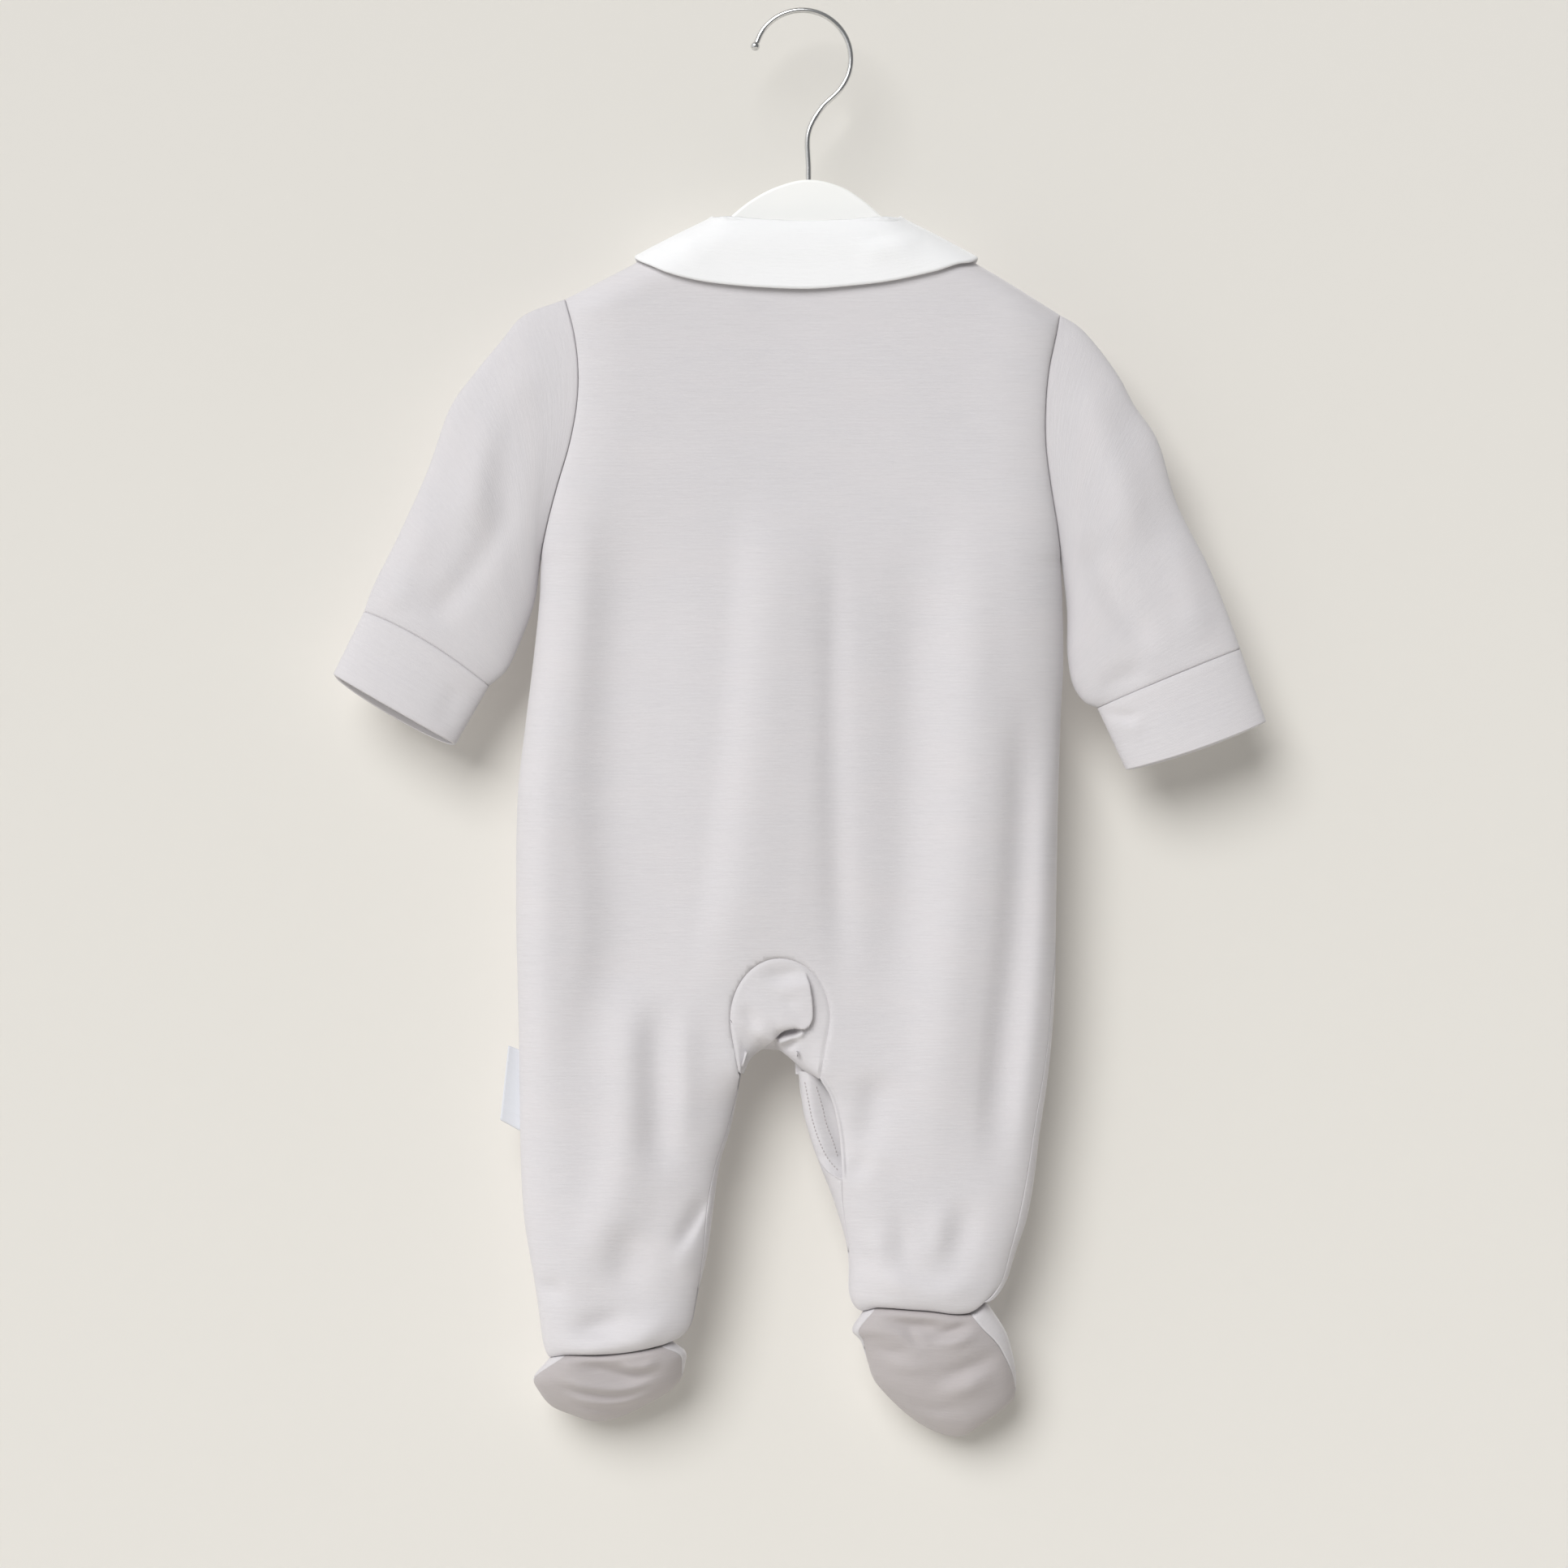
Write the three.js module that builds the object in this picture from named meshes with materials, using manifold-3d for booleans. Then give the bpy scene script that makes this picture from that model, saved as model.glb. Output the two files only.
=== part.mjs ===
// A footed baby sleepsuit in jersey, hanging on a small hanger, modelled as its maker's pieces.
// Millimetres, +Z up. The suit's back faces -Y, and the origin is inside the top of the hook.

import * as THREE from "three";
import { mergeVertices } from "three/addons/utils/BufferGeometryUtils.js";
import Module from "manifold-3d";

const wasm = await Module();
wasm.setup();

// Driving sizes
const CLOTH = 1.3;
const SEAM = 0.3;
const BACK = -1;
const FRONT = 1;
const SIDE_ROUNDING = 30;
const LEG_ROUNDING = 24;
const SHOULDER_ROUNDING = 16;
const CROTCH_FADE = 24;
const UNDERARM_Z = -243;
const ARMHOLE_OPENING = 8;
const CROTCH_Z = { [BACK]: -462, [FRONT]: -458 };
const NECK = { x: 1.3, halfWidth: 44, sideZ: -95.5, backDrop: 10.5, frontDrop: 32, frontShape: 0.8 };

const JERSEY = { color: 0xdcd9da, roughness: 0.95, metalness: 0 };
const SOLE_JERSEY = { color: 0xb8b2b0, roughness: 0.95, metalness: 0 };
const WHITE_KNIT = { color: 0xf4f5f6, roughness: 0.9, metalness: 0 };
const WHITE_PLASTIC = { color: 0xf7f7f5, roughness: 0.35, metalness: 0 };
const CHROME = { color: 0xc8c8c8, roughness: 0.15, metalness: 1 };

// How far the suit reaches to either side: armhole, side seam and outside leg
const OUTLINE = [
  { z: -127, left: -105.5, right: 115.0 },
  { z: -142, left: -101.5, right: 112.0 },
  { z: -158, left: -99.5, right: 108.6 },
  { z: -174, left: -100.0, right: 107.0 },
  { z: -192, left: -103.3, right: 107.0 },
  { z: -210, left: -108.6, right: 109.2 },
  { z: -228, left: -113.4, right: 112.2 },
  { z: -243, left: -116.3, right: 114.0 },
  { z: -260, left: -117.0, right: 114.8 },
  { z: -289, left: -120.0, right: 115.2 },
  { z: -315, left: -123.2, right: 114.0 },
  { z: -347, left: -126.7, right: 113.0 },
  { z: -400, left: -127.4, right: 112.0 },
  { z: -433, left: -126.7, right: 111.5 },
  { z: -467, left: -126.0, right: 109.0 },
  { z: -498, left: -125.6, right: 104.6 },
  { z: -518, left: -125.0, right: 102.2 },
  { z: -535, left: -123.8, right: 99.0 },
  { z: -550, left: -121.5, right: 94.0 },
  { z: -563, left: -119.2, right: 90.0 },
  { z: -580, left: -116.8, right: 84.0 },
  { z: -597, left: -114.8, right: 80.0 },
];

// Inside-leg edges of the two panels; the right leg's placket gapes, so its edges part
const INSEAM = [
  { z: -455, backLeft: -25.0, backRight: 0.0, frontLeft: -23.0, frontRight: -4.0 },
  { z: -470, backLeft: -28.0, backRight: 6.0, frontLeft: -27.5, frontRight: -2.2 },
  { z: -480, backLeft: -30.0, backRight: 11.8, frontLeft: -29.3, frontRight: -1.2 },
  { z: -495, backLeft: -34.0, backRight: 15.5, frontLeft: -32.5, frontRight: 2.2 },
  { z: -510, backLeft: -39.0, backRight: 16.9, frontLeft: -37.0, frontRight: 7.0 },
  { z: -527, backLeft: -42.5, backRight: 17.6, frontLeft: -39.6, frontRight: 13.5 },
  { z: -549, backLeft: -44.5, backRight: 20.2, frontLeft: -42.5, frontRight: 19.6 },
  { z: -567, backLeft: -47.2, backRight: 20.4, frontLeft: -46.6, frontRight: 20.0 },
  { z: -586, backLeft: -50.5, backRight: 21.5, frontLeft: -50.0, frontRight: 21.0 },
];

// How far the panels stand from the middle plane, away from their edges
const FULLNESS = [
  { z: -90, back: 11.0, front: 10.5 },
  { z: -130, back: 11.5, front: 11.0 },
  { z: -180, back: 13.0, front: 12.0 },
  { z: -243, back: 15.0, front: 13.5 },
  { z: -330, back: 16.0, front: 14.0 },
  { z: -420, back: 15.0, front: 13.5 },
  { z: -470, back: 13.5, front: 12.5 },
  { z: -520, back: 12.5, front: 12.0 },
  { z: -600, back: 12.0, front: 12.0 },
];

// The ridge that the panels fall away from: shoulder seams, and the height of the neck between
const SHOULDER_LINE = [
  { x: -105.5, z: -127.0 },
  { x: -80.0, z: -114.0 },
  { x: -60.0, z: -103.5 },
  { x: -42.7, z: -95.0 },
  { x: -34.0, z: -90.5 },
  { x: -20.0, z: -89.0 },
  { x: 22.0, z: -89.0 },
  { x: 36.0, z: -90.5 },
  { x: 45.3, z: -95.0 },
  { x: 63.0, z: -104.0 },
  { x: 83.0, z: -115.0 },
  { x: 113.8, z: -134.0 },
];

// The leg's lower edge above each foot, by the share of its width from the outside seam
const ANKLE = [
  { share: 0, left: -596, right: -571 },
  { share: 0.12, left: -594.5, right: -576 },
  { share: 0.5, left: -593.5, right: -574.5 },
  { share: 0.88, left: -590.5, right: -573.5 },
  { share: 1, left: -588.5, right: -575.5 },
];

// The largest folds of the back: ridges are raised and valleys sunk, in millimetres
const BACK_FOLDS = [
  { raise: 2.6, width: 17, path: [[-16, -215], [-17, -276], [-24, -332], [-33, -395]] },
  { raise: -2.4, width: 12, path: [[-92, -236], [-94, -314], [-105, -390]] },
  { raise: -2.4, width: 11, path: [[17, -250], [17, -330], [16, -424]] },
  { raise: 3.2, width: 15, path: [[71, -200], [70, -258], [63, -332], [55, -406], [42, -520]] },
  { raise: -2.6, width: 10, path: [[84, -380], [76, -443], [72, -520]] },
  { raise: 1.8, width: 9, path: [[104, -330], [104, -440], [93, -520]] },
  { raise: 3.0, width: 13, path: [[-83, -436], [-83, -498], [-92, -536]] },
  { raise: -2.6, width: 8, path: [[-64, -496], [-57, -530], [-50, -546]] },
  { raise: 2.2, width: 9, path: [[-104, -566], [-80, -572], [-62, -564]] },
  { raise: 2.0, width: 9, path: [[34, -556], [54, -560], [76, -552]] },
];
const FRONT_FOLDS = [
  { raise: 2.4, width: 16, path: [[-50, -220], [-56, -330], [-70, -430]] },
  { raise: -2.0, width: 13, path: [[-88, -250], [-92, -380]] },
  { raise: 2.4, width: 15, path: [[52, -230], [50, -340], [62, -440], [60, -520]] },
  { raise: 2.2, width: 13, path: [[-84, -470], [-86, -540]] },
];

// A smooth reading of one column of a table, by another column
function reading(rows, along, column, at) {
  const rising = rows[rows.length - 1][along] > rows[0][along];
  const sorted = rising ? rows : [...rows].reverse();
  const last = sorted.length - 1;
  const place = THREE.MathUtils.clamp(at, sorted[0][along], sorted[last][along]);
  let low = 0;
  while (low < last - 1 && place > sorted[low + 1][along]) low += 1;
  const slope = (index) => {
    const before = sorted[Math.max(index - 1, 0)];
    const after = sorted[Math.min(index + 1, last)];
    return (after[column] - before[column]) / (after[along] - before[along]);
  };
  const span = sorted[low + 1][along] - sorted[low][along];
  const t = (place - sorted[low][along]) / span;
  const rise = sorted[low + 1][column] - sorted[low][column];
  const startBend = slope(low) * span - rise;
  const endBend = rise - slope(low + 1) * span;
  return sorted[low][column] + rise * t + t * (1 - t) * ((1 - t) * startBend + t * endBend);
}

const lerp = THREE.MathUtils.lerp;

// The quarter round that a hanging wall takes on its way in from an edge
function rounding(distance, reach) {
  const left = 1 - THREE.MathUtils.clamp(distance / reach, 0, 1);
  return Math.sqrt(1 - left * left);
}

// How far a set of folds raises the cloth at one place
function foldRaise(folds, x, z) {
  let raise = 0;
  for (const fold of folds) {
    let nearest = Infinity;
    for (let i = 1; i < fold.path.length; i += 1) {
      const [ax, az] = fold.path[i - 1];
      const [bx, bz] = fold.path[i];
      const along = ((x - ax) * (bx - ax) + (z - az) * (bz - az)) / ((bx - ax) ** 2 + (bz - az) ** 2);
      const t = THREE.MathUtils.clamp(along, 0, 1);
      nearest = Math.min(nearest, Math.hypot(x - lerp(ax, bx, t), z - lerp(az, bz, t)));
    }
    raise += fold.raise * Math.exp(-((nearest / fold.width) ** 2));
  }
  return raise;
}

const leftEdge = (z) => reading(OUTLINE, "z", "left", z);
const rightEdge = (z) => reading(OUTLINE, "z", "right", z);
const shoulderLine = (x) => reading(SHOULDER_LINE, "x", "z", x);
const LEFT_SHOULDER = { x: SHOULDER_LINE[0].x, z: SHOULDER_LINE[0].z };
const RIGHT_SHOULDER = { x: SHOULDER_LINE.at(-1).x, z: SHOULDER_LINE.at(-1).z };

// A solid wall of cloth from a grid of its outer points, row by row
function clothWall(grid, { thickness = CLOTH, around = false, out = 1, isHole, isFlatSeam, isSquare } = {}) {
  const rows = grid.length;
  const cols = grid[0].length;
  const cellCols = around ? cols : cols - 1;
  const next = (j) => (j + 1) % cols;
  const filled = (i, j) => {
    if (i < 0 || i >= rows - 1) return false;
    const column = around ? (j + cols) % cols : j;
    return column >= 0 && column < cellCols && !(isHole && isHole(i, column));
  };
  const normals = grid.map((row) => row.map(() => new THREE.Vector3()));
  const one = new THREE.Vector3();
  const two = new THREE.Vector3();
  for (let i = 0; i < rows - 1; i += 1) {
    for (let j = 0; j < cellCols; j += 1) {
      if (!filled(i, j)) continue;
      one.subVectors(grid[i + 1][next(j)], grid[i][j]);
      two.subVectors(grid[i][next(j)], grid[i + 1][j]);
      one.cross(two).multiplyScalar(out);
      for (const corner of [normals[i][j], normals[i][next(j)], normals[i + 1][j], normals[i + 1][next(j)]]) {
        corner.add(one);
      }
    }
  }
  const positions = [];
  for (const row of grid) for (const point of row) positions.push(point.x, point.y, point.z);
  for (let i = 0; i < rows; i += 1) {
    for (let j = 0; j < cols; j += 1) {
      const normal = normals[i][j];
      if (isFlatSeam && isFlatSeam(i, j)) normal.y = 0;
      if (isSquare && isSquare(i, j)) normal.set(0, -out, 0);
      if (normal.lengthSq() > 0) normal.normalize();
      const inner = grid[i][j].clone().addScaledVector(normal, -thickness);
      positions.push(inner.x, inner.y, inner.z);
    }
  }
  const index = [];
  const quad = (a, b, c, d) => {
    if (out > 0) index.push(a, b, c, a, c, d);
    else index.push(a, c, b, a, d, c);
  };
  const shift = rows * cols;
  for (let i = 0; i < rows - 1; i += 1) {
    for (let j = 0; j < cellCols; j += 1) {
      if (!filled(i, j)) continue;
      const a = i * cols + j;
      const b = i * cols + next(j);
      const c = (i + 1) * cols + next(j);
      const d = (i + 1) * cols + j;
      quad(a, d, c, b);
      quad(a + shift, b + shift, c + shift, d + shift);
      const rim = (from, to) => quad(to, from, from + shift, to + shift);
      if (!filled(i, j - 1)) rim(a, d);
      if (!filled(i + 1, j)) rim(d, c);
      if (!filled(i, j + 1)) rim(c, b);
      if (!filled(i - 1, j)) rim(b, a);
    }
  }
  return geometryOf(positions, index);
}

function geometryOf(positions, index) {
  const geometry = new THREE.BufferGeometry();
  geometry.setAttribute("position", new THREE.BufferAttribute(new Float32Array(positions), 3));
  geometry.setIndex(index);
  return geometry;
}

// Joining and cutting
function solidOf(geometry) {
  const bare = geometry.clone();
  bare.deleteAttribute("normal");
  bare.deleteAttribute("uv");
  const merged = mergeVertices(bare, 1e-4);
  return new wasm.Manifold(new wasm.Mesh({
    numProp: 3,
    vertProperties: new Float32Array(merged.attributes.position.array),
    triVerts: new Uint32Array(merged.index.array),
  }));
}

function cut(geometry, tool) {
  const mesh = solidOf(geometry).subtract(solidOf(tool)).getMesh();
  return geometryOf(mesh.vertProperties, Array.from(mesh.triVerts));
}

// The two panels of the body and legs
const armholeOpening = (z, shoulderZ) => {
  const share = THREE.MathUtils.clamp((shoulderZ - z) / (shoulderZ - UNDERARM_Z), 0, 1);
  return ARMHOLE_OPENING * 2 * Math.sqrt(share * (1 - share));
};

const fullness = (side, z) => reading(FULLNESS, "z", side === BACK ? "back" : "front", z);

// The outer surface of a panel above the crotch, raised by an extra amount for what lies on it
function torsoY(side, x, z, extra = 0) {
  const left = leftEdge(z);
  const right = rightEdge(z);
  const share = THREE.MathUtils.clamp((x - left) / (right - left), 0, 1);
  const opening = Math.max(
    SEAM / 2,
    lerp(armholeOpening(z, LEFT_SHOULDER.z), armholeOpening(z, RIGHT_SHOULDER.z), share),
  );
  const sides = rounding(Math.min(x - left, right - x), SIDE_ROUNDING);
  const top = rounding(shoulderLine(x) + extra - z, SHOULDER_ROUNDING + extra);
  const folds = foldRaise(side === BACK ? BACK_FOLDS : FRONT_FOLDS, x, z);
  return side * (opening + (fullness(side, z) + extra - opening + folds) * sides * top);
}

function legY(side, x, z, outer, inner) {
  const sides = rounding(Math.abs(x - outer), LEG_ROUNDING);
  const fade = THREE.MathUtils.smoothstep(CROTCH_Z[side] - z, 0, CROTCH_FADE);
  const inside = lerp(1, rounding(Math.abs(inner - x), LEG_ROUNDING), fade);
  const folds = foldRaise(side === BACK ? BACK_FOLDS : FRONT_FOLDS, x, z);
  const blend = THREE.MathUtils.smoothstep(CROTCH_Z[side] - z, 0, 2 * CROTCH_FADE);
  const outside = lerp(rounding(Math.abs(x - outer), SIDE_ROUNDING), sides, blend);
  return side * (SEAM / 2 + (fullness(side, z) - SEAM / 2 + folds) * outside * inside);
}

const neckline = (side, x) => {
  const share = THREE.MathUtils.clamp(Math.abs(x - NECK.x) / NECK.halfWidth, 0, 1);
  const drop = side === BACK ? NECK.backDrop : NECK.frontDrop;
  return NECK.sideZ - drop * (1 - share * share) ** (side === BACK ? 0.5 : NECK.frontShape);
};
const topEdge = (side, x) => (Math.abs(x - NECK.x) < NECK.halfWidth ? neckline(side, x) : shoulderLine(x));

const ACROSS = {
  [BACK]: [0, 0.02, 0.07, 0.16, 0.29, 0.42, 0.55, 0.68, 0.79, 0.89, 0.96, 1],
  [FRONT]: [0, 0.02, 0.1, 0.28, 0.5, 0.68, 0.77, 0.88, 0.96, 1],
};
const DOWN = {
  [BACK]: [
    0, 0.005, 0.018, 0.04, 0.08, 0.13, 0.18, 0.23, 0.28, 0.33, 0.38, 0.43, 0.48, 0.53, 0.58, 0.63,
    0.68, 0.73, 0.78, 0.83, 0.88, 0.93, 0.97, 1,
  ],
  [FRONT]: [0, 0.006, 0.025, 0.06, 0.12, 0.2, 0.3, 0.4, 0.5, 0.6, 0.7, 0.8, 0.9, 1],
};
const LEG_ROWS = { [BACK]: 10, [FRONT]: 7 };

// The grid of one panel: the torso's rows, then the legs' with the gap between them
function panelGrid(side) {
  const name = side === BACK ? "back" : "front";
  const crotch = CROTCH_Z[side];
  const inseam = (leg, z) => reading(INSEAM, "z", name + leg, z);
  const width = rightEdge(crotch) - leftEdge(crotch);
  const leftShare = (inseam("Left", crotch) - leftEdge(crotch)) / width;
  const rightShare = (inseam("Right", crotch) - leftEdge(crotch)) / width;
  const shares = [
    ...ACROSS[side].map((part) => part * leftShare),
    (leftShare + rightShare) / 2,
    ...[...ACROSS[side]].reverse().map((part) => 1 - part * (1 - rightShare)),
  ];
  const grid = [];
  for (const down of DOWN[side]) {
    const row = shares.map((share) => {
      const topX = lerp(LEFT_SHOULDER.x, RIGHT_SHOULDER.x, share);
      const z = lerp(topEdge(side, topX), crotch, down);
      const leftZ = lerp(LEFT_SHOULDER.z, crotch, down);
      const rightZ = lerp(RIGHT_SHOULDER.z, crotch, down);
      const x = lerp(leftEdge(leftZ), rightEdge(rightZ), share);
      return new THREE.Vector3(x, 0, z);
    });
    row.forEach((point, j) => {
      const atSide = j === 0 || j === row.length - 1;
      const shoulderZ = j === 0 ? LEFT_SHOULDER.z : RIGHT_SHOULDER.z;
      if (atSide) point.y = side * Math.max(SEAM / 2, armholeOpening(point.z, shoulderZ));
      else point.y = torsoY(side, point.x, point.z);
    });
    grid.push(row);
  }
  const legCols = ACROSS[side].length;
  for (let i = 1; i <= LEG_ROWS[side]; i += 1) {
    const down = i / LEG_ROWS[side];
    const row = [];
    for (let j = 0; j < shares.length; j += 1) {
      const isLeft = j < legCols;
      const part = isLeft ? ACROSS[side][j] : ACROSS[side][shares.length - 1 - j];
      if (j === legCols) {
        row.push(new THREE.Vector3(0, 0, 0));
        continue;
      }
      const height = (place) => lerp(crotch, reading(ANKLE, "share", isLeft ? "left" : "right", place), down);
      const z = height(part);
      const outer = isLeft ? leftEdge(height(0)) : rightEdge(height(0));
      const inner = inseam(isLeft ? "Left" : "Right", height(1));
      const x = lerp(outer, inner, part);
      row.push(new THREE.Vector3(x, legY(side, x, z, outer, inner), z));
    }
    grid.push(row);
  }
  return { grid, legCols, torsoRows: DOWN[side].length, shares };
}

const inLegGap = (panel) => (i, j) => {
  const between = j === panel.legCols - 1 || j === panel.legCols;
  return between && i >= panel.torsoRows - 1;
};

// Where two panels meet edge to edge, their walls end square to the middle plane
const meetsOtherPanel = (panel) => (i, j) => {
  const z = panel.grid[i][j].z;
  const isSide = j === 0 || j === panel.shares.length - 1;
  const isShoulder = i === 0 && Math.abs(panel.grid[i][j].x - NECK.x) >= NECK.halfWidth;
  const isInseam = i > panel.torsoRows && (j === panel.legCols - 1 || j === panel.legCols + 1);
  return (isSide && z <= UNDERARM_Z) || isShoulder || isInseam;
};

// The gusset's seam: a round arch over two short straight sides
const GUSSET = {
  x: -10.4, z: -446, halfWidth: 22.1, height: 27.4, leftFoot: [-28.8, -469], rightFoot: [7.2, -472],
};

function gussetOutline(inset) {
  const points = [[GUSSET.leftFoot[0] + inset, GUSSET.leftFoot[1]]];
  const steps = 16;
  for (let i = 0; i <= steps; i += 1) {
    const angle = Math.PI * (1 - i / steps);
    points.push([
      GUSSET.x + (GUSSET.halfWidth - inset) * Math.cos(angle),
      GUSSET.z + (GUSSET.height - inset) * Math.sin(angle),
    ]);
  }
  points.push([GUSSET.rightFoot[0] - inset, GUSSET.rightFoot[1]]);
  return points;
}

function prism(points, nearY, farY) {
  const shape = new THREE.Shape(points.map(([x, z]) => new THREE.Vector2(x, z)));
  const geometry = new THREE.ExtrudeGeometry(shape, { depth: farY - nearY, bevelEnabled: false });
  geometry.rotateX(Math.PI / 2);
  geometry.translate(0, farY, 0);
  return geometry;
}

const backPanel = panelGrid(BACK);
const frontPanel = panelGrid(FRONT);

function backGeometry() {
  const edges = { isHole: inLegGap(backPanel), isFlatSeam: meetsOtherPanel(backPanel) };
  const wall = clothWall(backPanel.grid, edges);
  return cut(wall, prism(gussetOutline(0), -40, 0));
}

// The front is cut in two along its middle, where it opens
function frontHalf(isLeft) {
  const middle = frontPanel.legCols;
  const grid = frontPanel.grid.map((row) => {
    const half = isLeft ? row.slice(0, middle + 1) : row.slice(middle);
    const edge = isLeft ? half.length - 1 : 0;
    return half.map((point, j) => {
      const moved = point.clone();
      if (j === edge) moved.x += isLeft ? -SEAM / 2 : SEAM / 2;
      return moved;
    });
  });
  const skipped = isLeft ? 0 : middle;
  return clothWall(grid, {
    out: -1,
    isHole: (i, j) => inLegGap(frontPanel)(i, j + skipped),
    isFlatSeam: (i, j) => meetsOtherPanel(frontPanel)(i, j + skipped),
  });
}

const piece = (name, geometry, look) => {
  const mesh = new THREE.Mesh(geometry, new THREE.MeshStandardMaterial(look));
  mesh.name = name;
  return mesh;
};

// Sleeves: the flat outline of each, from the armhole to the cuff's seam
const ARMHOLE_GAP = 0.6;
const SLEEVE_SECTIONS = 11;
const AROUND_SLEEVE = 24;
const SLEEVES = {
  left: {
    out: 1,
    shoulder: LEFT_SHOULDER,
    edge: (z) => leftEdge(z) - ARMHOLE_GAP,
    outer: [
      [-124.6, -134.6], [-133.9, -145.4], [-145.8, -159.8], [-156.2, -174.2], [-166.7, -203],
      [-179.6, -231.8], [-191.5, -256], [-194.8, -265.3],
    ],
    inner: [[-119.2, -261], [-126, -280], [-132, -292], [-139.3, -298.4]],
    seamArch: 3.2,
    hem: { outer: [-208.4, -293], inner: [-154.1, -324], sag: 0 },
    mouthDrop: 4,
    folds: [
      { raise: 2.2, width: 9, path: [[-118, -150], [-138, -190], [-152, -236]] },
      { raise: -1.8, width: 7, path: [[-130, -222], [-148, -250], [-168, -270]] },
      { raise: 2.0, width: 8, path: [[-166, -226], [-176, -250], [-178, -268]] },
    ],
  },
  right: {
    out: -1,
    shoulder: RIGHT_SHOULDER,
    edge: (z) => rightEdge(z) + ARMHOLE_GAP,
    outer: [
      [123.1, -140], [139, -159.8], [146.9, -174.2], [156.6, -188.6], [165.6, -217.4], [180, -246.2],
      [190.6, -273], [193.7, -281.9],
    ],
    inner: [[116.9, -265], [117.2, -286], [119.9, -299], [124.9, -305.8], [130.3, -308.2]],
    seamArch: 0.5,
    hem: { outer: [205.2, -313.9], inner: [142.9, -335.5], sag: 1.5 },
    mouthDrop: 1,
    folds: [
      { raise: 2.2, width: 9, path: [[124, -158], [138, -196], [150, -240]] },
      { raise: -1.8, width: 7, path: [[122, -230], [138, -262], [158, -284]] },
      { raise: 2.0, width: 8, path: [[166, -236], [172, -262], [172, -282]] },
    ],
  },
};

const planeCurve = (points) => new THREE.CatmullRomCurve3(points.map(([x, z]) => new THREE.Vector3(x, 0, z)));

// A surface spanned between four edge curves, at a share down and a share across
function spanned(top, bottom, start, end, down, across) {
  const point = new THREE.Vector3();
  point.addScaledVector(top(across), 1 - down).addScaledVector(bottom(across), down);
  point.addScaledVector(start(down), 1 - across).addScaledVector(end(down), across);
  point.addScaledVector(top(0), -(1 - down) * (1 - across)).addScaledVector(top(1), -(1 - down) * across);
  point.addScaledVector(bottom(0), -down * (1 - across)).addScaledVector(bottom(1), -down * across);
  return point;
}

// A flattened tube: its flat outline opened up to an oval, back first
function flattenedTube(flat, sections, depth, folds, out) {
  const grid = sections.map((down) => {
    const row = [];
    for (let j = 0; j < AROUND_SLEEVE; j += 1) {
      const angle = (2 * Math.PI * j) / AROUND_SLEEVE;
      const isFront = Math.sin(angle) < 0;
      const point = flat(down, (1 - Math.cos(angle)) / 2, isFront ? -Math.sin(angle) : 0);
      const raise = isFront ? 0 : foldRaise(folds, point.x, point.z) * Math.sin(angle);
      point.y = -(depth(down) + raise) * Math.sin(angle);
      row.push(point);
    }
    return row;
  });
  return clothWall(grid, { around: true, out });
}

function sleeveSeam(spec) {
  const [outerX, outerZ] = spec.outer.at(-1);
  const [innerX, innerZ] = spec.inner.at(-1);
  return (across) => new THREE.Vector3(
    lerp(outerX, innerX, across),
    0,
    lerp(outerZ, innerZ, across) + spec.seamArch * 4 * across * (1 - across),
  );
}

function sleeveGeometry(spec) {
  const armhole = (across) => {
    const z = lerp(spec.shoulder.z, UNDERARM_Z, across);
    return new THREE.Vector3(spec.edge(z), 0, z);
  };
  const outer = planeCurve([[armhole(0).x, armhole(0).z], ...spec.outer]);
  const inner = planeCurve([[armhole(1).x, armhole(1).z], ...spec.inner]);
  const seam = sleeveSeam(spec);
  const flat = (down, across) => spanned(
    armhole, seam, (share) => outer.getPointAt(share), (share) => inner.getPointAt(share), down, across,
  );
  const sections = Array.from({ length: SLEEVE_SECTIONS }, (_, i) => i / (SLEEVE_SECTIONS - 1));
  const depth = (down) => ARMHOLE_OPENING + 2 * Math.sin(Math.PI * down);
  return flattenedTube(flat, sections, depth, spec.folds, spec.out);
}

function cuffGeometry(spec) {
  const seam = sleeveSeam(spec);
  const { outer, inner, sag } = spec.hem;
  const hem = (across) => new THREE.Vector3(
    lerp(outer[0], inner[0], across), 0, lerp(outer[1], inner[1], across) - sag * 4 * across * (1 - across),
  );
  const gap = (across) => hem(across).sub(seam(across)).setLength(2 * SEAM);
  const flat = (down, across, front) => {
    const from = seam(across).add(gap(across));
    const towards = hem(across);
    towards.z -= spec.mouthDrop * front;
    return from.lerp(towards, down);
  };
  const depth = (down) => ARMHOLE_OPENING + 1.2 * down;
  return flattenedTube(flat, [0, 0.08, 0.35, 0.65, 0.92, 1], depth, [], spec.out);
}

// The collar falls from its roll over the panels, and its stand drops inside to the neck's seam.
// Its fall is followed at shares of the way up; the head and neck points lie that far towards the stand
const COLLAR = {
  thickness: 1.4, rollHalfWidth: 41.5, hemHalfWidth: 76, lift: 3.4, frontLift: 1.5, seamGap: 0.6,
  hemBackDrop: 37.9, hemFrontDrop: 68, hemShape: 1.7, rollBackDrop: 8, rollFrontDrop: 35,
  falls: [0, 0.3, 0.6, 0.82], underRoll: 0.93, headDepth: 0.45, neckDepth: 0.95, neckIn: 0.15,
  neckDown: 0.25, neckClear: 0.8,
  turns: [0, 12, 24, 36, 48, 59, 69, 77, 83, 87, 90, 93, 97, 103, 111, 121, 132, 145, 159, 172],
};

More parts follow.
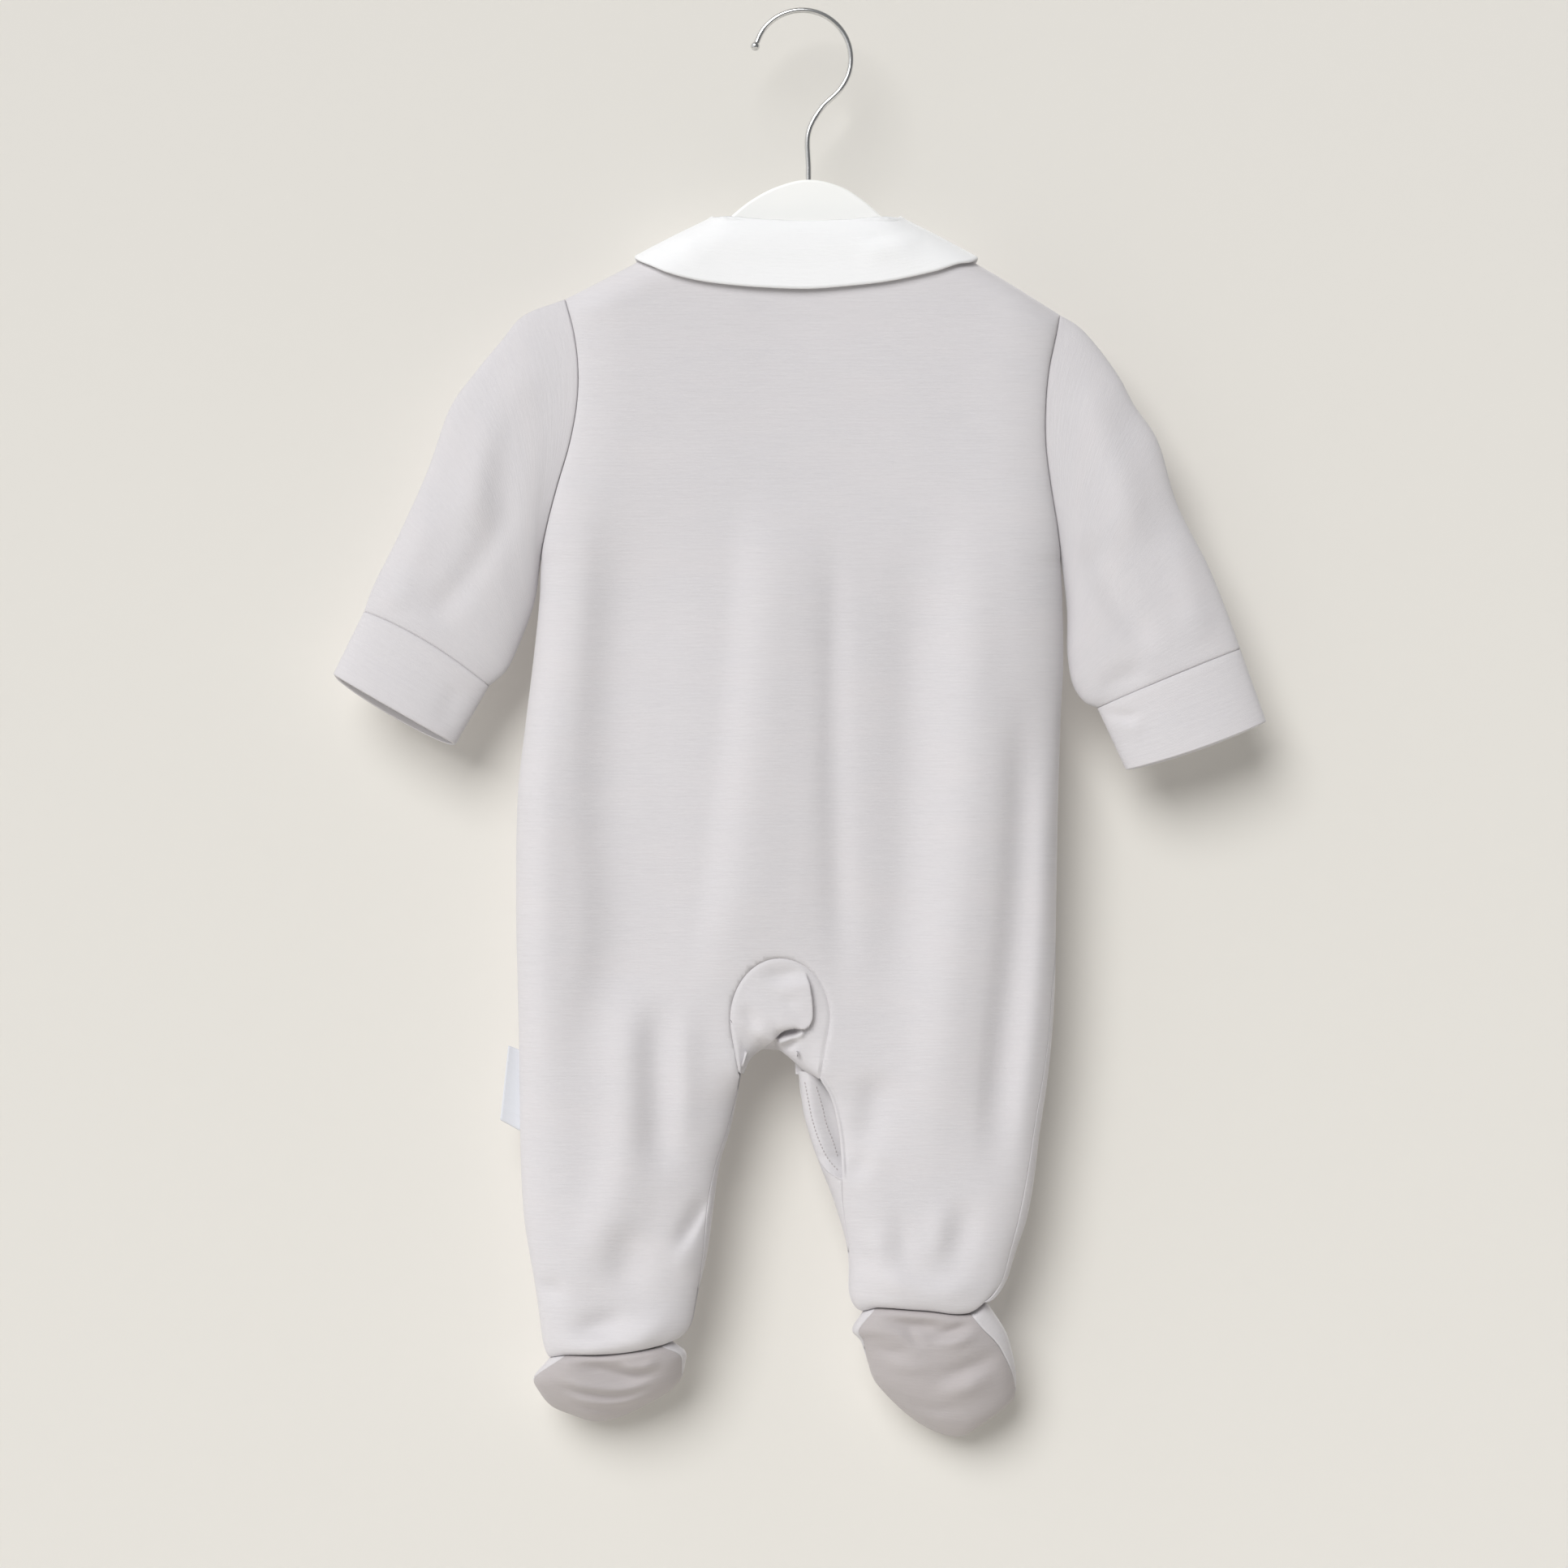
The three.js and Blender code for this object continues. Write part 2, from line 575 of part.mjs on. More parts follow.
// The place on a panel's top edge at a given x
function topRim(panel, x) {
  const rim = panel.grid[0];
  let j = 1;
  while (j < rim.length - 1 && rim[j].x < x) j += 1;
  return rim[j - 1].clone().lerp(rim[j], (x - rim[j - 1].x) / (rim[j].x - rim[j - 1].x));
}

function collarColumn(degrees) {
  const turn = THREE.MathUtils.degToRad(degrees);
  const isBack = Math.abs(degrees) <= 90;
  const side = isBack ? BACK : FRONT;
  const facing = Math.abs(degrees) === 90 ? 0 : Math.abs(Math.cos(turn));
  const lift = COLLAR.lift + (isBack ? 0 : COLLAR.frontLift * facing);
  const rollX = NECK.x + COLLAR.rollHalfWidth * Math.sin(turn);
  const hemX = NECK.x + COLLAR.hemHalfWidth * Math.sin(turn);
  const rollDrop = (isBack ? COLLAR.rollBackDrop : COLLAR.rollFrontDrop) * facing;
  const hemDrop = (isBack ? COLLAR.hemBackDrop : COLLAR.hemFrontDrop) * facing ** COLLAR.hemShape;
  const fall = (up) => {
    const x = lerp(hemX, rollX, up);
    const z = shoulderLine(x) + lift - lerp(hemDrop, rollDrop, up);
    return new THREE.Vector3(x, facing === 0 ? 0 : panelTop(side, x, z, lift), z);
  };
  const seam = topRim(isBack ? backPanel : frontPanel, NECK.x + NECK.halfWidth * Math.sin(turn));
  if (facing === 0) seam.y = 0;
  const inward = new THREE.Vector2(Math.sin(turn), side * facing).setLength(COLLAR.thickness);
  const foot = new THREE.Vector3(seam.x - inward.x, seam.y - inward.y, seam.z + COLLAR.seamGap);
  const under = fall(COLLAR.underRoll);
  const roll = fall(1);
  const head = new THREE.Vector3(roll.x, lerp(under.y, foot.y, COLLAR.headDepth), roll.z);
  const neck = new THREE.Vector3(
    lerp(roll.x, foot.x, COLLAR.neckIn) - COLLAR.neckClear * Math.sin(turn),
    lerp(under.y, foot.y, COLLAR.neckDepth),
    lerp(roll.z, foot.z, COLLAR.neckDown),
  );
  return [...COLLAR.falls.map(fall), under, head, neck, neck.clone().lerp(foot, 0.5), foot];
}

function collarGeometry() {
  const turns = [...COLLAR.turns.slice(1).reverse().map((turn) => -turn), ...COLLAR.turns];
  const columns = turns.map(collarColumn);
  const grid = columns[0].map((_, i) => columns.map((column) => column[i]));
  return clothWall(grid, { thickness: COLLAR.thickness, out: -1 });
}

// A panel's surface by the shoulders and neck, without its folds, raised for what lies over it
function panelTop(side, x, z, lift) {
  const top = rounding(shoulderLine(x) + lift - z, SHOULDER_ROUNDING + lift);
  return side * (SEAM / 2 + (fullness(side, z) + lift - SEAM / 2) * top);
}

// The round gusset, tucked under to the front's crotch, with its one deep fold
const GUSSET_COLUMNS = 19;
const GUSSET_ROWS = 9;
const GUSSET_BULGE = { towardsUnder: 0.55, height: 0.86 };
const GUSSET_UNDER = [
  { x: -26.6, y: -4, z: -470 },
  { x: -21.5, y: -5, z: -462.5 },
  { x: -13.5, y: -5, z: -457.5 },
  { x: -6.5, y: -3, z: -452.5 },
  { x: -2, y: -5, z: -462 },
  { x: 1.5, y: -5, z: -468.5 },
  { x: 5.2, y: -4, z: -471.6 },
];
const GUSSET_FRONT = [
  { x: -26.4, y: 2.2, z: -470.6 },
  { x: -22, y: 9.5, z: -461.5 },
  { x: -13, y: 10.6, z: -460.5 },
  { x: -5.2, y: 9.5, z: -461.5 },
  { x: -3.4, y: 2.2, z: -470.6 },
];
const GUSSET_FOLDS = [
  { raise: 3.0, width: 4.5, path: [[1, -424], [2.6, -440], [2, -448]] },
  { raise: -3.0, width: 6, path: [[-8, -430], [-6, -446]] },
];

function surfaceY(side, x, z) {
  if (z >= CROTCH_Z[side]) return torsoY(side, x, z);
  const isLeft = x < GUSSET.x;
  const name = (side === BACK ? "back" : "front") + (isLeft ? "Left" : "Right");
  return legY(side, x, z, isLeft ? leftEdge(z) : rightEdge(z), reading(INSEAM, "z", name, z));
}

function gussetGeometry() {
  const arch = planeCurve(gussetOutline(2.5 * SEAM));
  const curve = (rows) => new THREE.CatmullRomCurve3(rows.map(({ x, y, z }) => new THREE.Vector3(x, y, z)));
  const under = curve(GUSSET_UNDER);
  const front = curve(GUSSET_FRONT);
  const columns = [];
  for (let j = 0; j < GUSSET_COLUMNS; j += 1) {
    const share = j / (GUSSET_COLUMNS - 1);
    const seam = arch.getPointAt(share);
    seam.y = surfaceY(BACK, seam.x, seam.z);
    const low = under.getPointAt(share);
    const bulge = seam.clone().lerp(low, GUSSET_BULGE.towardsUnder);
    bulge.y = seam.y * GUSSET_BULGE.height - foldRaise(GUSSET_FOLDS, bulge.x, bulge.z);
    const path = new THREE.CatmullRomCurve3([seam, bulge, low, front.getPointAt(share)]);
    columns.push(path.getSpacedPoints(GUSSET_ROWS - 1));
  }
  const grid = columns[0].map((_, i) => columns.map((column) => column[i]));
  return clothWall(grid, { thickness: 1.1, isSquare: (i) => i === 0 });
}

// Feet: the flat outline of each, from the ankle down to the toe, seen from behind
const FOOT_ROWS = 9;
const FOOT_COLUMNS = 13;
const TOE_Y = 22;
const TOE_ROUNDING = 18;
const FOOT_FULLNESS = [
  { down: 0, back: 12, front: 12 },
  { down: 0.3, back: 12.5, front: 19 },
  { down: 0.6, back: 12, front: 20 },
  { down: 1, back: 11, front: 15 },
];
const FEET = {
  left: {
    left: [[-119.9, -606.2], [-117.7, -612.4], [-112.7, -619.6], [-104.8, -624.6]],
    right: [[-52.2, -594.4], [-52.6, -599.8], [-54.4, -606.6], [-59.4, -613.1], [-65.2, -617]],
    toe: [[-104.8, -624.6], [-93.2, -627.8], [-84.2, -626.4], [-75.2, -622.8], [-65.2, -617]],
    outside: "left",
  },
  right: {
    left: [
      [21.6, -584.6], [25.2, -589], [28.4, -598.3], [31.3, -607], [36.7, -614.2], [45.4, -623.2],
      [51.8, -628.6],
    ],
    right: [[90, -585.4], [92.5, -593.3], [94.7, -604.4], [94.3, -615.6], [90, -620.6], [83.2, -623.5]],
    toe: [[51.8, -628.6], [60.5, -632.9], [69.1, -634.7], [73.4, -633.6], [83.2, -623.5]],
    outside: "right",
  },
};

function footGeometry(spec, side) {
  const leg = spec.outside;
  const isLeft = leg === "left";
  const outer = isLeft ? leftEdge(ANKLE[0].left) : rightEdge(ANKLE[0].right);
  const inner = reading(INSEAM, "z", isLeft ? "backLeft" : "backRight", ANKLE.at(-1)[leg]);
  const ankle = (across) => {
    const share = isLeft ? across : 1 - across;
    return new THREE.Vector3(lerp(outer, inner, share), 0, reading(ANKLE, "share", leg, share) - 2 * SEAM);
  };
  const startEdge = planeCurve([[ankle(0).x, ankle(0).z], ...spec.left]);
  const endEdge = planeCurve([[ankle(1).x, ankle(1).z], ...spec.right]);
  const toe = planeCurve(spec.toe);
  const grid = [];
  for (let i = 0; i < FOOT_ROWS; i += 1) {
    const down = i / (FOOT_ROWS - 1);
    const row = [];
    for (let j = 0; j < FOOT_COLUMNS; j += 1) {
      const across = (1 - Math.cos((Math.PI * j) / (FOOT_COLUMNS - 1))) / 2;
      const point = spanned(
        ankle, (share) => toe.getPointAt(share), (share) => startEdge.getPointAt(share),
        (share) => endEdge.getPointAt(share), down, across,
      );
      const width = endEdge.getPointAt(down).distanceTo(startEdge.getPointAt(down));
      const sides = rounding(width * across, LEG_ROUNDING) * rounding(width * (1 - across), LEG_ROUNDING);
      const toeEnd = rounding(startEdge.getLength() * (1 - down), TOE_ROUNDING);
      const full = reading(FOOT_FULLNESS, "down", side === BACK ? "back" : "front", down);
      point.y = side * (SEAM / 2 + full * sides * toeEnd) + TOE_Y * down ** 1.5;
      row.push(point);
    }
    grid.push(row);
  }
  const isFlatSeam = (i, j) => i === FOOT_ROWS - 1 || j === 0 || j === FOOT_COLUMNS - 1;
  return clothWall(grid, { out: -side, isFlatSeam });
}

// The faced edge of the right leg's inside opening, seen where it gapes
const LEG_PLACKET = {
  topZ: -476, bottomZ: -522, width: 16, rows: 8, columns: 6, thickness: 1.2, faceY: -2.3, slope: 0.42,
};

function legPlacketGeometry() {
  const grid = [];
  for (let i = 0; i < LEG_PLACKET.rows; i += 1) {
    const z = lerp(LEG_PLACKET.topZ, LEG_PLACKET.bottomZ, i / (LEG_PLACKET.rows - 1));
    const edge = reading(INSEAM, "z", "frontRight", z);
    const row = [];
    for (let j = 0; j < LEG_PLACKET.columns; j += 1) {
      const reach = (LEG_PLACKET.width * j) / (LEG_PLACKET.columns - 1);
      row.push(new THREE.Vector3(edge + reach, LEG_PLACKET.faceY + LEG_PLACKET.slope * reach, z));
    }
    grid.push(row);
  }
  return clothWall(grid, { thickness: LEG_PLACKET.thickness });
}

// The front opening's strip and its press studs, lying on the front's surface
const FRONT_PLACKET = {
  x: NECK.x, width: 16, topZ: -134, bottomZ: -440, rows: 17, columns: 5, thickness: 1.2, gap: 0.5,
};
const SNAPS = { count: 7, topZ: -168, pitch: 44, radius: 4.6, height: 1.6, gap: 0.4 };

const placketY = (x, z) => torsoY(FRONT, x, z) + FRONT_PLACKET.gap + FRONT_PLACKET.thickness;

function frontPlacketGeometry() {
  const grid = [];
  for (let i = 0; i < FRONT_PLACKET.rows; i += 1) {
    const z = lerp(FRONT_PLACKET.topZ, FRONT_PLACKET.bottomZ, i / (FRONT_PLACKET.rows - 1));
    const row = [];
    for (let j = 0; j < FRONT_PLACKET.columns; j += 1) {
      const x = FRONT_PLACKET.x + FRONT_PLACKET.width * (j / (FRONT_PLACKET.columns - 1) - 0.5);
      row.push(new THREE.Vector3(x, placketY(x, z), z));
    }
    grid.push(row);
  }
  return clothWall(grid, { thickness: FRONT_PLACKET.thickness, out: -1 });
}

function snapMesh(number) {
  const z = SNAPS.topZ - SNAPS.pitch * (number - 1);
  const geometry = new THREE.CylinderGeometry(SNAPS.radius, SNAPS.radius, SNAPS.height, 16);
  const snap = piece(`snap_${number}`, geometry, WHITE_PLASTIC);
  snap.position.set(FRONT_PLACKET.x, placketY(FRONT_PLACKET.x, z) + SNAPS.gap + SNAPS.height / 2, z);
  return snap;
}

// The bare tab sewn into the left side seam
const LABEL = {
  outline: [[-126.7, -460.4], [-130.4, -458.3], [-134, -490.7], [-126.1, -495.7]], thickness: 1,
};

// The hanger: a flat board whose arms follow the shoulders, with an arched middle
const HANGER = {
  halfThickness: 3, below: 4.3, leftX: -90, archLeftX: -45, archRightX: 47, rightX: 98, armDepth: 13,
  middleZ: -100, stations: [0, 0.2, 0.4, 0.6, 0.8, 1],
};
const HANGER_ARCH = [
  [-37.5, -95.4], [-32.8, -91], [-23, -83.2], [-11.9, -77.4], [1.8, -74.2], [15.8, -77], [25.2, -82.4],
  [34.8, -90.6], [40, -95.6],
];
const SOCKET_DEPTH = 20;
const HOOK = {
  wireRadius: 1.25, sides: 8, steps: 34, stemX: 2.3, stemFootZ: -85, bendZ: -53, x: -0.5, radius: 21.6,
  endAngle: 165, startAngle: -40, angleStep: 20.5, ballRadius: 2.05, socketClearance: 0.35,
};

function hangerGeometry() {
  const armTop = (x) => shoulderLine(x) - HANGER.below;
  const arm = (from, to) => HANGER.stations.map((share) => {
    const x = lerp(from, to, share);
    return [x, armTop(x)];
  });
  const leftArm = arm(HANGER.leftX, HANGER.archLeftX);
  const rightArm = arm(HANGER.archRightX, HANGER.rightX);
  const under = [
    [HANGER.rightX, armTop(HANGER.rightX) - HANGER.armDepth],
    [70, armTop(70) - HANGER.armDepth - 1],
    [40, HANGER.middleZ - 8],
    [20, HANGER.middleZ - 1],
    [NECK.x, HANGER.middleZ],
    [-18, HANGER.middleZ - 1],
    [-38, HANGER.middleZ - 8],
    [-66, armTop(-66) - HANGER.armDepth - 1],
    [HANGER.leftX, armTop(HANGER.leftX) - HANGER.armDepth],
  ];
  const outline = [...leftArm, ...HANGER_ARCH, ...rightArm, ...under];
  const board = prism(outline, -HANGER.halfThickness, HANGER.halfThickness);
  const socketRadius = HOOK.wireRadius + HOOK.socketClearance;
  const socket = new THREE.CylinderGeometry(socketRadius, socketRadius, SOCKET_DEPTH, 16);
  socket.rotateX(Math.PI / 2);
  socket.translate(HOOK.stemX, 0, HOOK.stemFootZ - HOOK.socketClearance + SOCKET_DEPTH / 2);
  return cut(board, socket);
}

function hookGeometry() {
  const points = [
    new THREE.Vector3(HOOK.stemX, 0, HOOK.stemFootZ),
    new THREE.Vector3(HOOK.stemX, 0, HOOK.stemFootZ + 16),
    new THREE.Vector3(HOOK.stemX, 0, HOOK.bendZ),
    new THREE.Vector3(HOOK.stemX + 5.5, 0, HOOK.bendZ + 10.5),
  ];
  const centreZ = HOOK.wireRadius - HOOK.radius;
  for (let angle = HOOK.startAngle; angle <= HOOK.endAngle; angle += HOOK.angleStep) {
    const turn = THREE.MathUtils.degToRad(angle);
    const [x, z] = [HOOK.radius * Math.cos(turn), HOOK.radius * Math.sin(turn)];
    points.push(new THREE.Vector3(HOOK.x + x, 0, centreZ + z));
  }
  const path = new THREE.CatmullRomCurve3(points);
  const round = new THREE.Shape();
  for (let side = 0; side < HOOK.sides; side += 1) {
    const angle = (2 * Math.PI * side) / HOOK.sides;
    const [x, y] = [HOOK.wireRadius * Math.cos(angle), HOOK.wireRadius * Math.sin(angle)];
    if (side === 0) round.moveTo(x, y);
    else round.lineTo(x, y);
  }
  const along = { steps: HOOK.steps, extrudePath: path, bevelEnabled: false };
  const wire = new THREE.ExtrudeGeometry(round, along);
  const ball = new THREE.SphereGeometry(HOOK.ballRadius, 12, 8);
  ball.translate(...points.at(-1).toArray());
  const mesh = solidOf(wire).add(solidOf(ball)).getMesh();
  return geometryOf(mesh.vertProperties, Array.from(mesh.triVerts));
}

const sleepsuit = new THREE.Group();
sleepsuit.add(piece("back", backGeometry(), JERSEY));
sleepsuit.add(piece("front_left", frontHalf(true), JERSEY));
sleepsuit.add(piece("front_right", frontHalf(false), JERSEY));
sleepsuit.add(piece("gusset", gussetGeometry(), JERSEY));
for (const hand of ["left", "right"]) {
  sleepsuit.add(piece(`sleeve_${hand}`, sleeveGeometry(SLEEVES[hand]), JERSEY));
  sleepsuit.add(piece(`cuff_${hand}`, cuffGeometry(SLEEVES[hand]), JERSEY));
  sleepsuit.add(piece(`sole_${hand}`, footGeometry(FEET[hand], BACK), SOLE_JERSEY));
  sleepsuit.add(piece(`upper_${hand}`, footGeometry(FEET[hand], FRONT), JERSEY));
}
sleepsuit.add(piece("collar", collarGeometry(), WHITE_KNIT));
sleepsuit.add(piece("leg_placket", legPlacketGeometry(), JERSEY));
sleepsuit.add(piece("front_placket", frontPlacketGeometry(), JERSEY));
for (let number = 1; number <= SNAPS.count; number += 1) sleepsuit.add(snapMesh(number));
const tab = prism(LABEL.outline, -LABEL.thickness / 2, LABEL.thickness / 2);
sleepsuit.add(piece("side_label", tab, WHITE_KNIT));
sleepsuit.add(piece("hanger", hangerGeometry(), WHITE_PLASTIC));
sleepsuit.add(piece("hook", hookGeometry(), CHROME));

export default sleepsuit;
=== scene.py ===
"""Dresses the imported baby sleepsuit: thin jersey shells with soft folds, seams and stitches, on its hanger.

Panels are worked out in millimetres in the frame's own axes, and meshes are made in metres.
"""

import logging
import math
from collections.abc import Callable, Iterable, Sequence
from dataclasses import dataclass, field
from enum import Enum

import bpy
import numpy as np
from bpy.types import Material, Node, NodeSocket, NodeTree, Object
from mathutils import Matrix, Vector


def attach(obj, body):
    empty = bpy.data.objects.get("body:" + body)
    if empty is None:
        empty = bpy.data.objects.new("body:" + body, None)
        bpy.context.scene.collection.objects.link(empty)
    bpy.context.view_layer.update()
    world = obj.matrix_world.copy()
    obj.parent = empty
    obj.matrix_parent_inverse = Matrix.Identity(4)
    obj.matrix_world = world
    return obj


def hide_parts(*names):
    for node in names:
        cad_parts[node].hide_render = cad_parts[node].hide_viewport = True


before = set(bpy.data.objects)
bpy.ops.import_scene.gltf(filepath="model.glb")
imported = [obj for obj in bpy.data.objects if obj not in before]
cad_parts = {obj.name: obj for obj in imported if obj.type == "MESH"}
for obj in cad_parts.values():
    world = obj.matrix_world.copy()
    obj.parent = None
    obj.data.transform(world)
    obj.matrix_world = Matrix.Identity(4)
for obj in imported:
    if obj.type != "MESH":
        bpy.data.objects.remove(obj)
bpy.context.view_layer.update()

log = logging.getLogger("sleepsuit")

Array = np.ndarray
Colour = tuple[float, float, float]
Points = tuple[tuple[float, float], ...]
Places = tuple[tuple[float, float, float], ...]

MM = 0.001
BODY = "root"
LAY = "cloth"
SEAM = 0.3


class Side(Enum):
    """The two faces of the suit: its back looks along -Y."""

    BACK = -1
    FRONT = 1


class Hand(Enum):
    """The two sides of the suit as the picture shows them."""

    LEFT = "left"
    RIGHT = "right"


def read_line(at: Array, along: Array, line: Array) -> Array:
    """Points of a line at places along it."""
    return np.stack([np.interp(at, along, line[:, k]) for k in range(line.shape[1])], axis=1)


def smooth_step(value: Array) -> Array:
    """Eases 0 to 1, flat at both ends."""
    t = np.clip(value, 0, 1)
    return t * t * (3 - 2 * t)


def mix(start: Array, end: Array, share: Array) -> Array:
    """Goes from start to end by a share."""
    return start + (end - start) * share


def quarter_round(distance: Array, reach: float) -> Array:
    """The rounding that a hanging wall takes on its way in from an edge."""
    left = 1 - np.clip(distance / reach, 0, 1)
    return np.sqrt(1 - left * left)


def spline(knots: Sequence[Sequence[float]], count: int, fine: int = 24) -> Array:
    """Evenly spaced points along a smooth line through the knots.

    Args:
        knots: The points that the line passes through.
        count: How many points come back.
        fine: How many steps each stretch between knots is worked out in.

    Returns:
        An array of count points.
    """
    points = np.array(knots, float)
    ends = np.vstack([2 * points[0] - points[1], points, 2 * points[-1] - points[-2]])
    spans = np.maximum(np.sqrt(np.linalg.norm(np.diff(ends, axis=0), axis=1)), 1e-4)
    t = np.linspace(0, 1, fine, endpoint=False)[:, None]
    line = []
    for i in range(len(points) - 1):
        before, start, end, after = ends[i : i + 4]
        d0, d1, d2 = spans[i : i + 3]
        leave = d1 * ((start - before) / d0 - (end - before) / (d0 + d1) + (end - start) / d1)
        arrive = d1 * ((end - start) / d1 - (after - start) / (d1 + d2) + (after - end) / d2)
        square = 3 * (end - start) - 2 * leave - arrive
        cube = 2 * (start - end) + leave + arrive
        line.append(start + leave * t + square * t**2 + cube * t**3)
    line = np.vstack([*line, points[-1:]])
    along = np.concatenate([[0], np.cumsum(np.linalg.norm(np.diff(line, axis=0), axis=1))])
    return read_line(np.linspace(0, along[-1], count), along, line)


@dataclass(frozen=True)
class SizeTable:
    """A short table of sizes, read smoothly between its rows."""

    columns: tuple[str, ...]
    rows: tuple[tuple[float, ...], ...]

    def read(self, column: str, at: Array) -> Array:
        """Reads one column at places along the table's first column.

        Args:
            column: The name of the column to read.
            at: Places along the first column.

        Returns:
            The column's value at each place.
        """
        table = np.array(sorted(self.rows), float)
        along, values = table[:, 0], table[:, self.columns.index(column)]
        slope = np.gradient(values, along) if len(along) < 3 else np.empty_like(values)
        if len(along) >= 3:
            slope[1:-1] = (values[2:] - values[:-2]) / (along[2:] - along[:-2])
            slope[0] = (values[1] - values[0]) / (along[1] - along[0])
            slope[-1] = (values[-1] - values[-2]) / (along[-1] - along[-2])
        place = np.clip(np.asarray(at, float), along[0], along[-1])
        low = np.clip(np.searchsorted(along, place, side="right") - 1, 0, len(along) - 2)
        span = along[low + 1] - along[low]
        t = (place - along[low]) / span
        rise = values[low + 1] - values[low]
        start = slope[low] * span - rise
        end = rise - slope[low + 1] * span
        return values[low] + rise * t + t * (1 - t) * ((1 - t) * start + t * end)


@dataclass(frozen=True)
class Nearest:
    """For places on the cloth, the nearest place on a line of straight steps."""

    distance: Array
    step: Array
    share: Array
    away_x: Array
    away_z: Array

    @classmethod
    def on(cls, line: Array, x: Array, z: Array) -> "Nearest":
        """Looks along the whole line.

        Args:
            line: The line's points in x and z.
            x: Places across.
            z: Places in height.

        Returns:
            The distance, the step's number and the share along it, and the way from the line in x and z.
        """
        best = cls(np.full(np.shape(x), np.inf), *(np.zeros(np.shape(x)) for _ in range(4)))
        for step, ((px, pz), (dx, dz)) in enumerate(zip(line, np.diff(line, axis=0))):
            share = np.clip(((x - px) * dx + (z - pz) * dz) / (dx * dx + dz * dz), 0, 1)
            away_x, away_z = x - px - share * dx, z - pz - share * dz
            found = (np.hypot(away_x, away_z), step, share, away_x, away_z)
            is_nearer = found[0] < best.distance
            best = cls(*(np.where(is_nearer, new, old) for new, old in zip(found, vars(best).values())))
        return best


@dataclass(frozen=True)
class Fold:
    """One soft ridge, or a trough where its height is below zero, along a line on the cloth.

    The line runs in x and z. Lean makes one flank steeper: above zero, the one to the line's left.
    """

    height: float
    width: float
    path: Points
    fade: float = 0.25
    lean: float = 0.0

    def lift(self, x: Array, z: Array) -> Array:
        """How far the fold raises the cloth at each place."""
        line = spline(self.path, 13)
        steps = np.diff(line, axis=0)
        lengths = np.linalg.norm(steps, axis=1)
        starts = np.concatenate([[0], np.cumsum(lengths)])
        near = Nearest.on(line, x, z)
        step = near.step.astype(int)
        along = (starts[step] + near.share * lengths[step]) / starts[-1]
        flank = steps[step, 1] * near.away_x - steps[step, 0] * near.away_z
        side = np.clip(flank / (np.mean(lengths) * self.width), -1, 1)
        width = self.width * (1 + self.lean * side)
        ends = smooth_step(along / self.fade) * smooth_step((1 - along) / self.fade)
        return self.height * np.exp(-((near.distance / width) ** 2)) * ends


def folds_lift(folds: Iterable[Fold], x: Array, z: Array) -> Array:
    """How far a set of folds raises the cloth at each place."""
    return sum((fold.lift(x, z) for fold in folds), np.zeros(np.shape(x)))


def ripple(x: Array, z: Array, seed: float) -> Array:
    """The slight unevenness of hanging jersey, within half a millimetre."""
    turn = seed * 1.7
    slow = np.sin(x / 17 + 0.6 * np.sin(z / 41 + turn) + turn)
    drift = np.sin(z / 23 + 1.1 * np.sin(x / 29 - turn)) * np.sin(x / 31 + seed)
    quick = np.sin(x / 7.3 + z / 38 + 2 * turn) * np.sin(z / 19 - turn)
    return 0.2 * slow + 0.2 * drift + 0.07 * quick


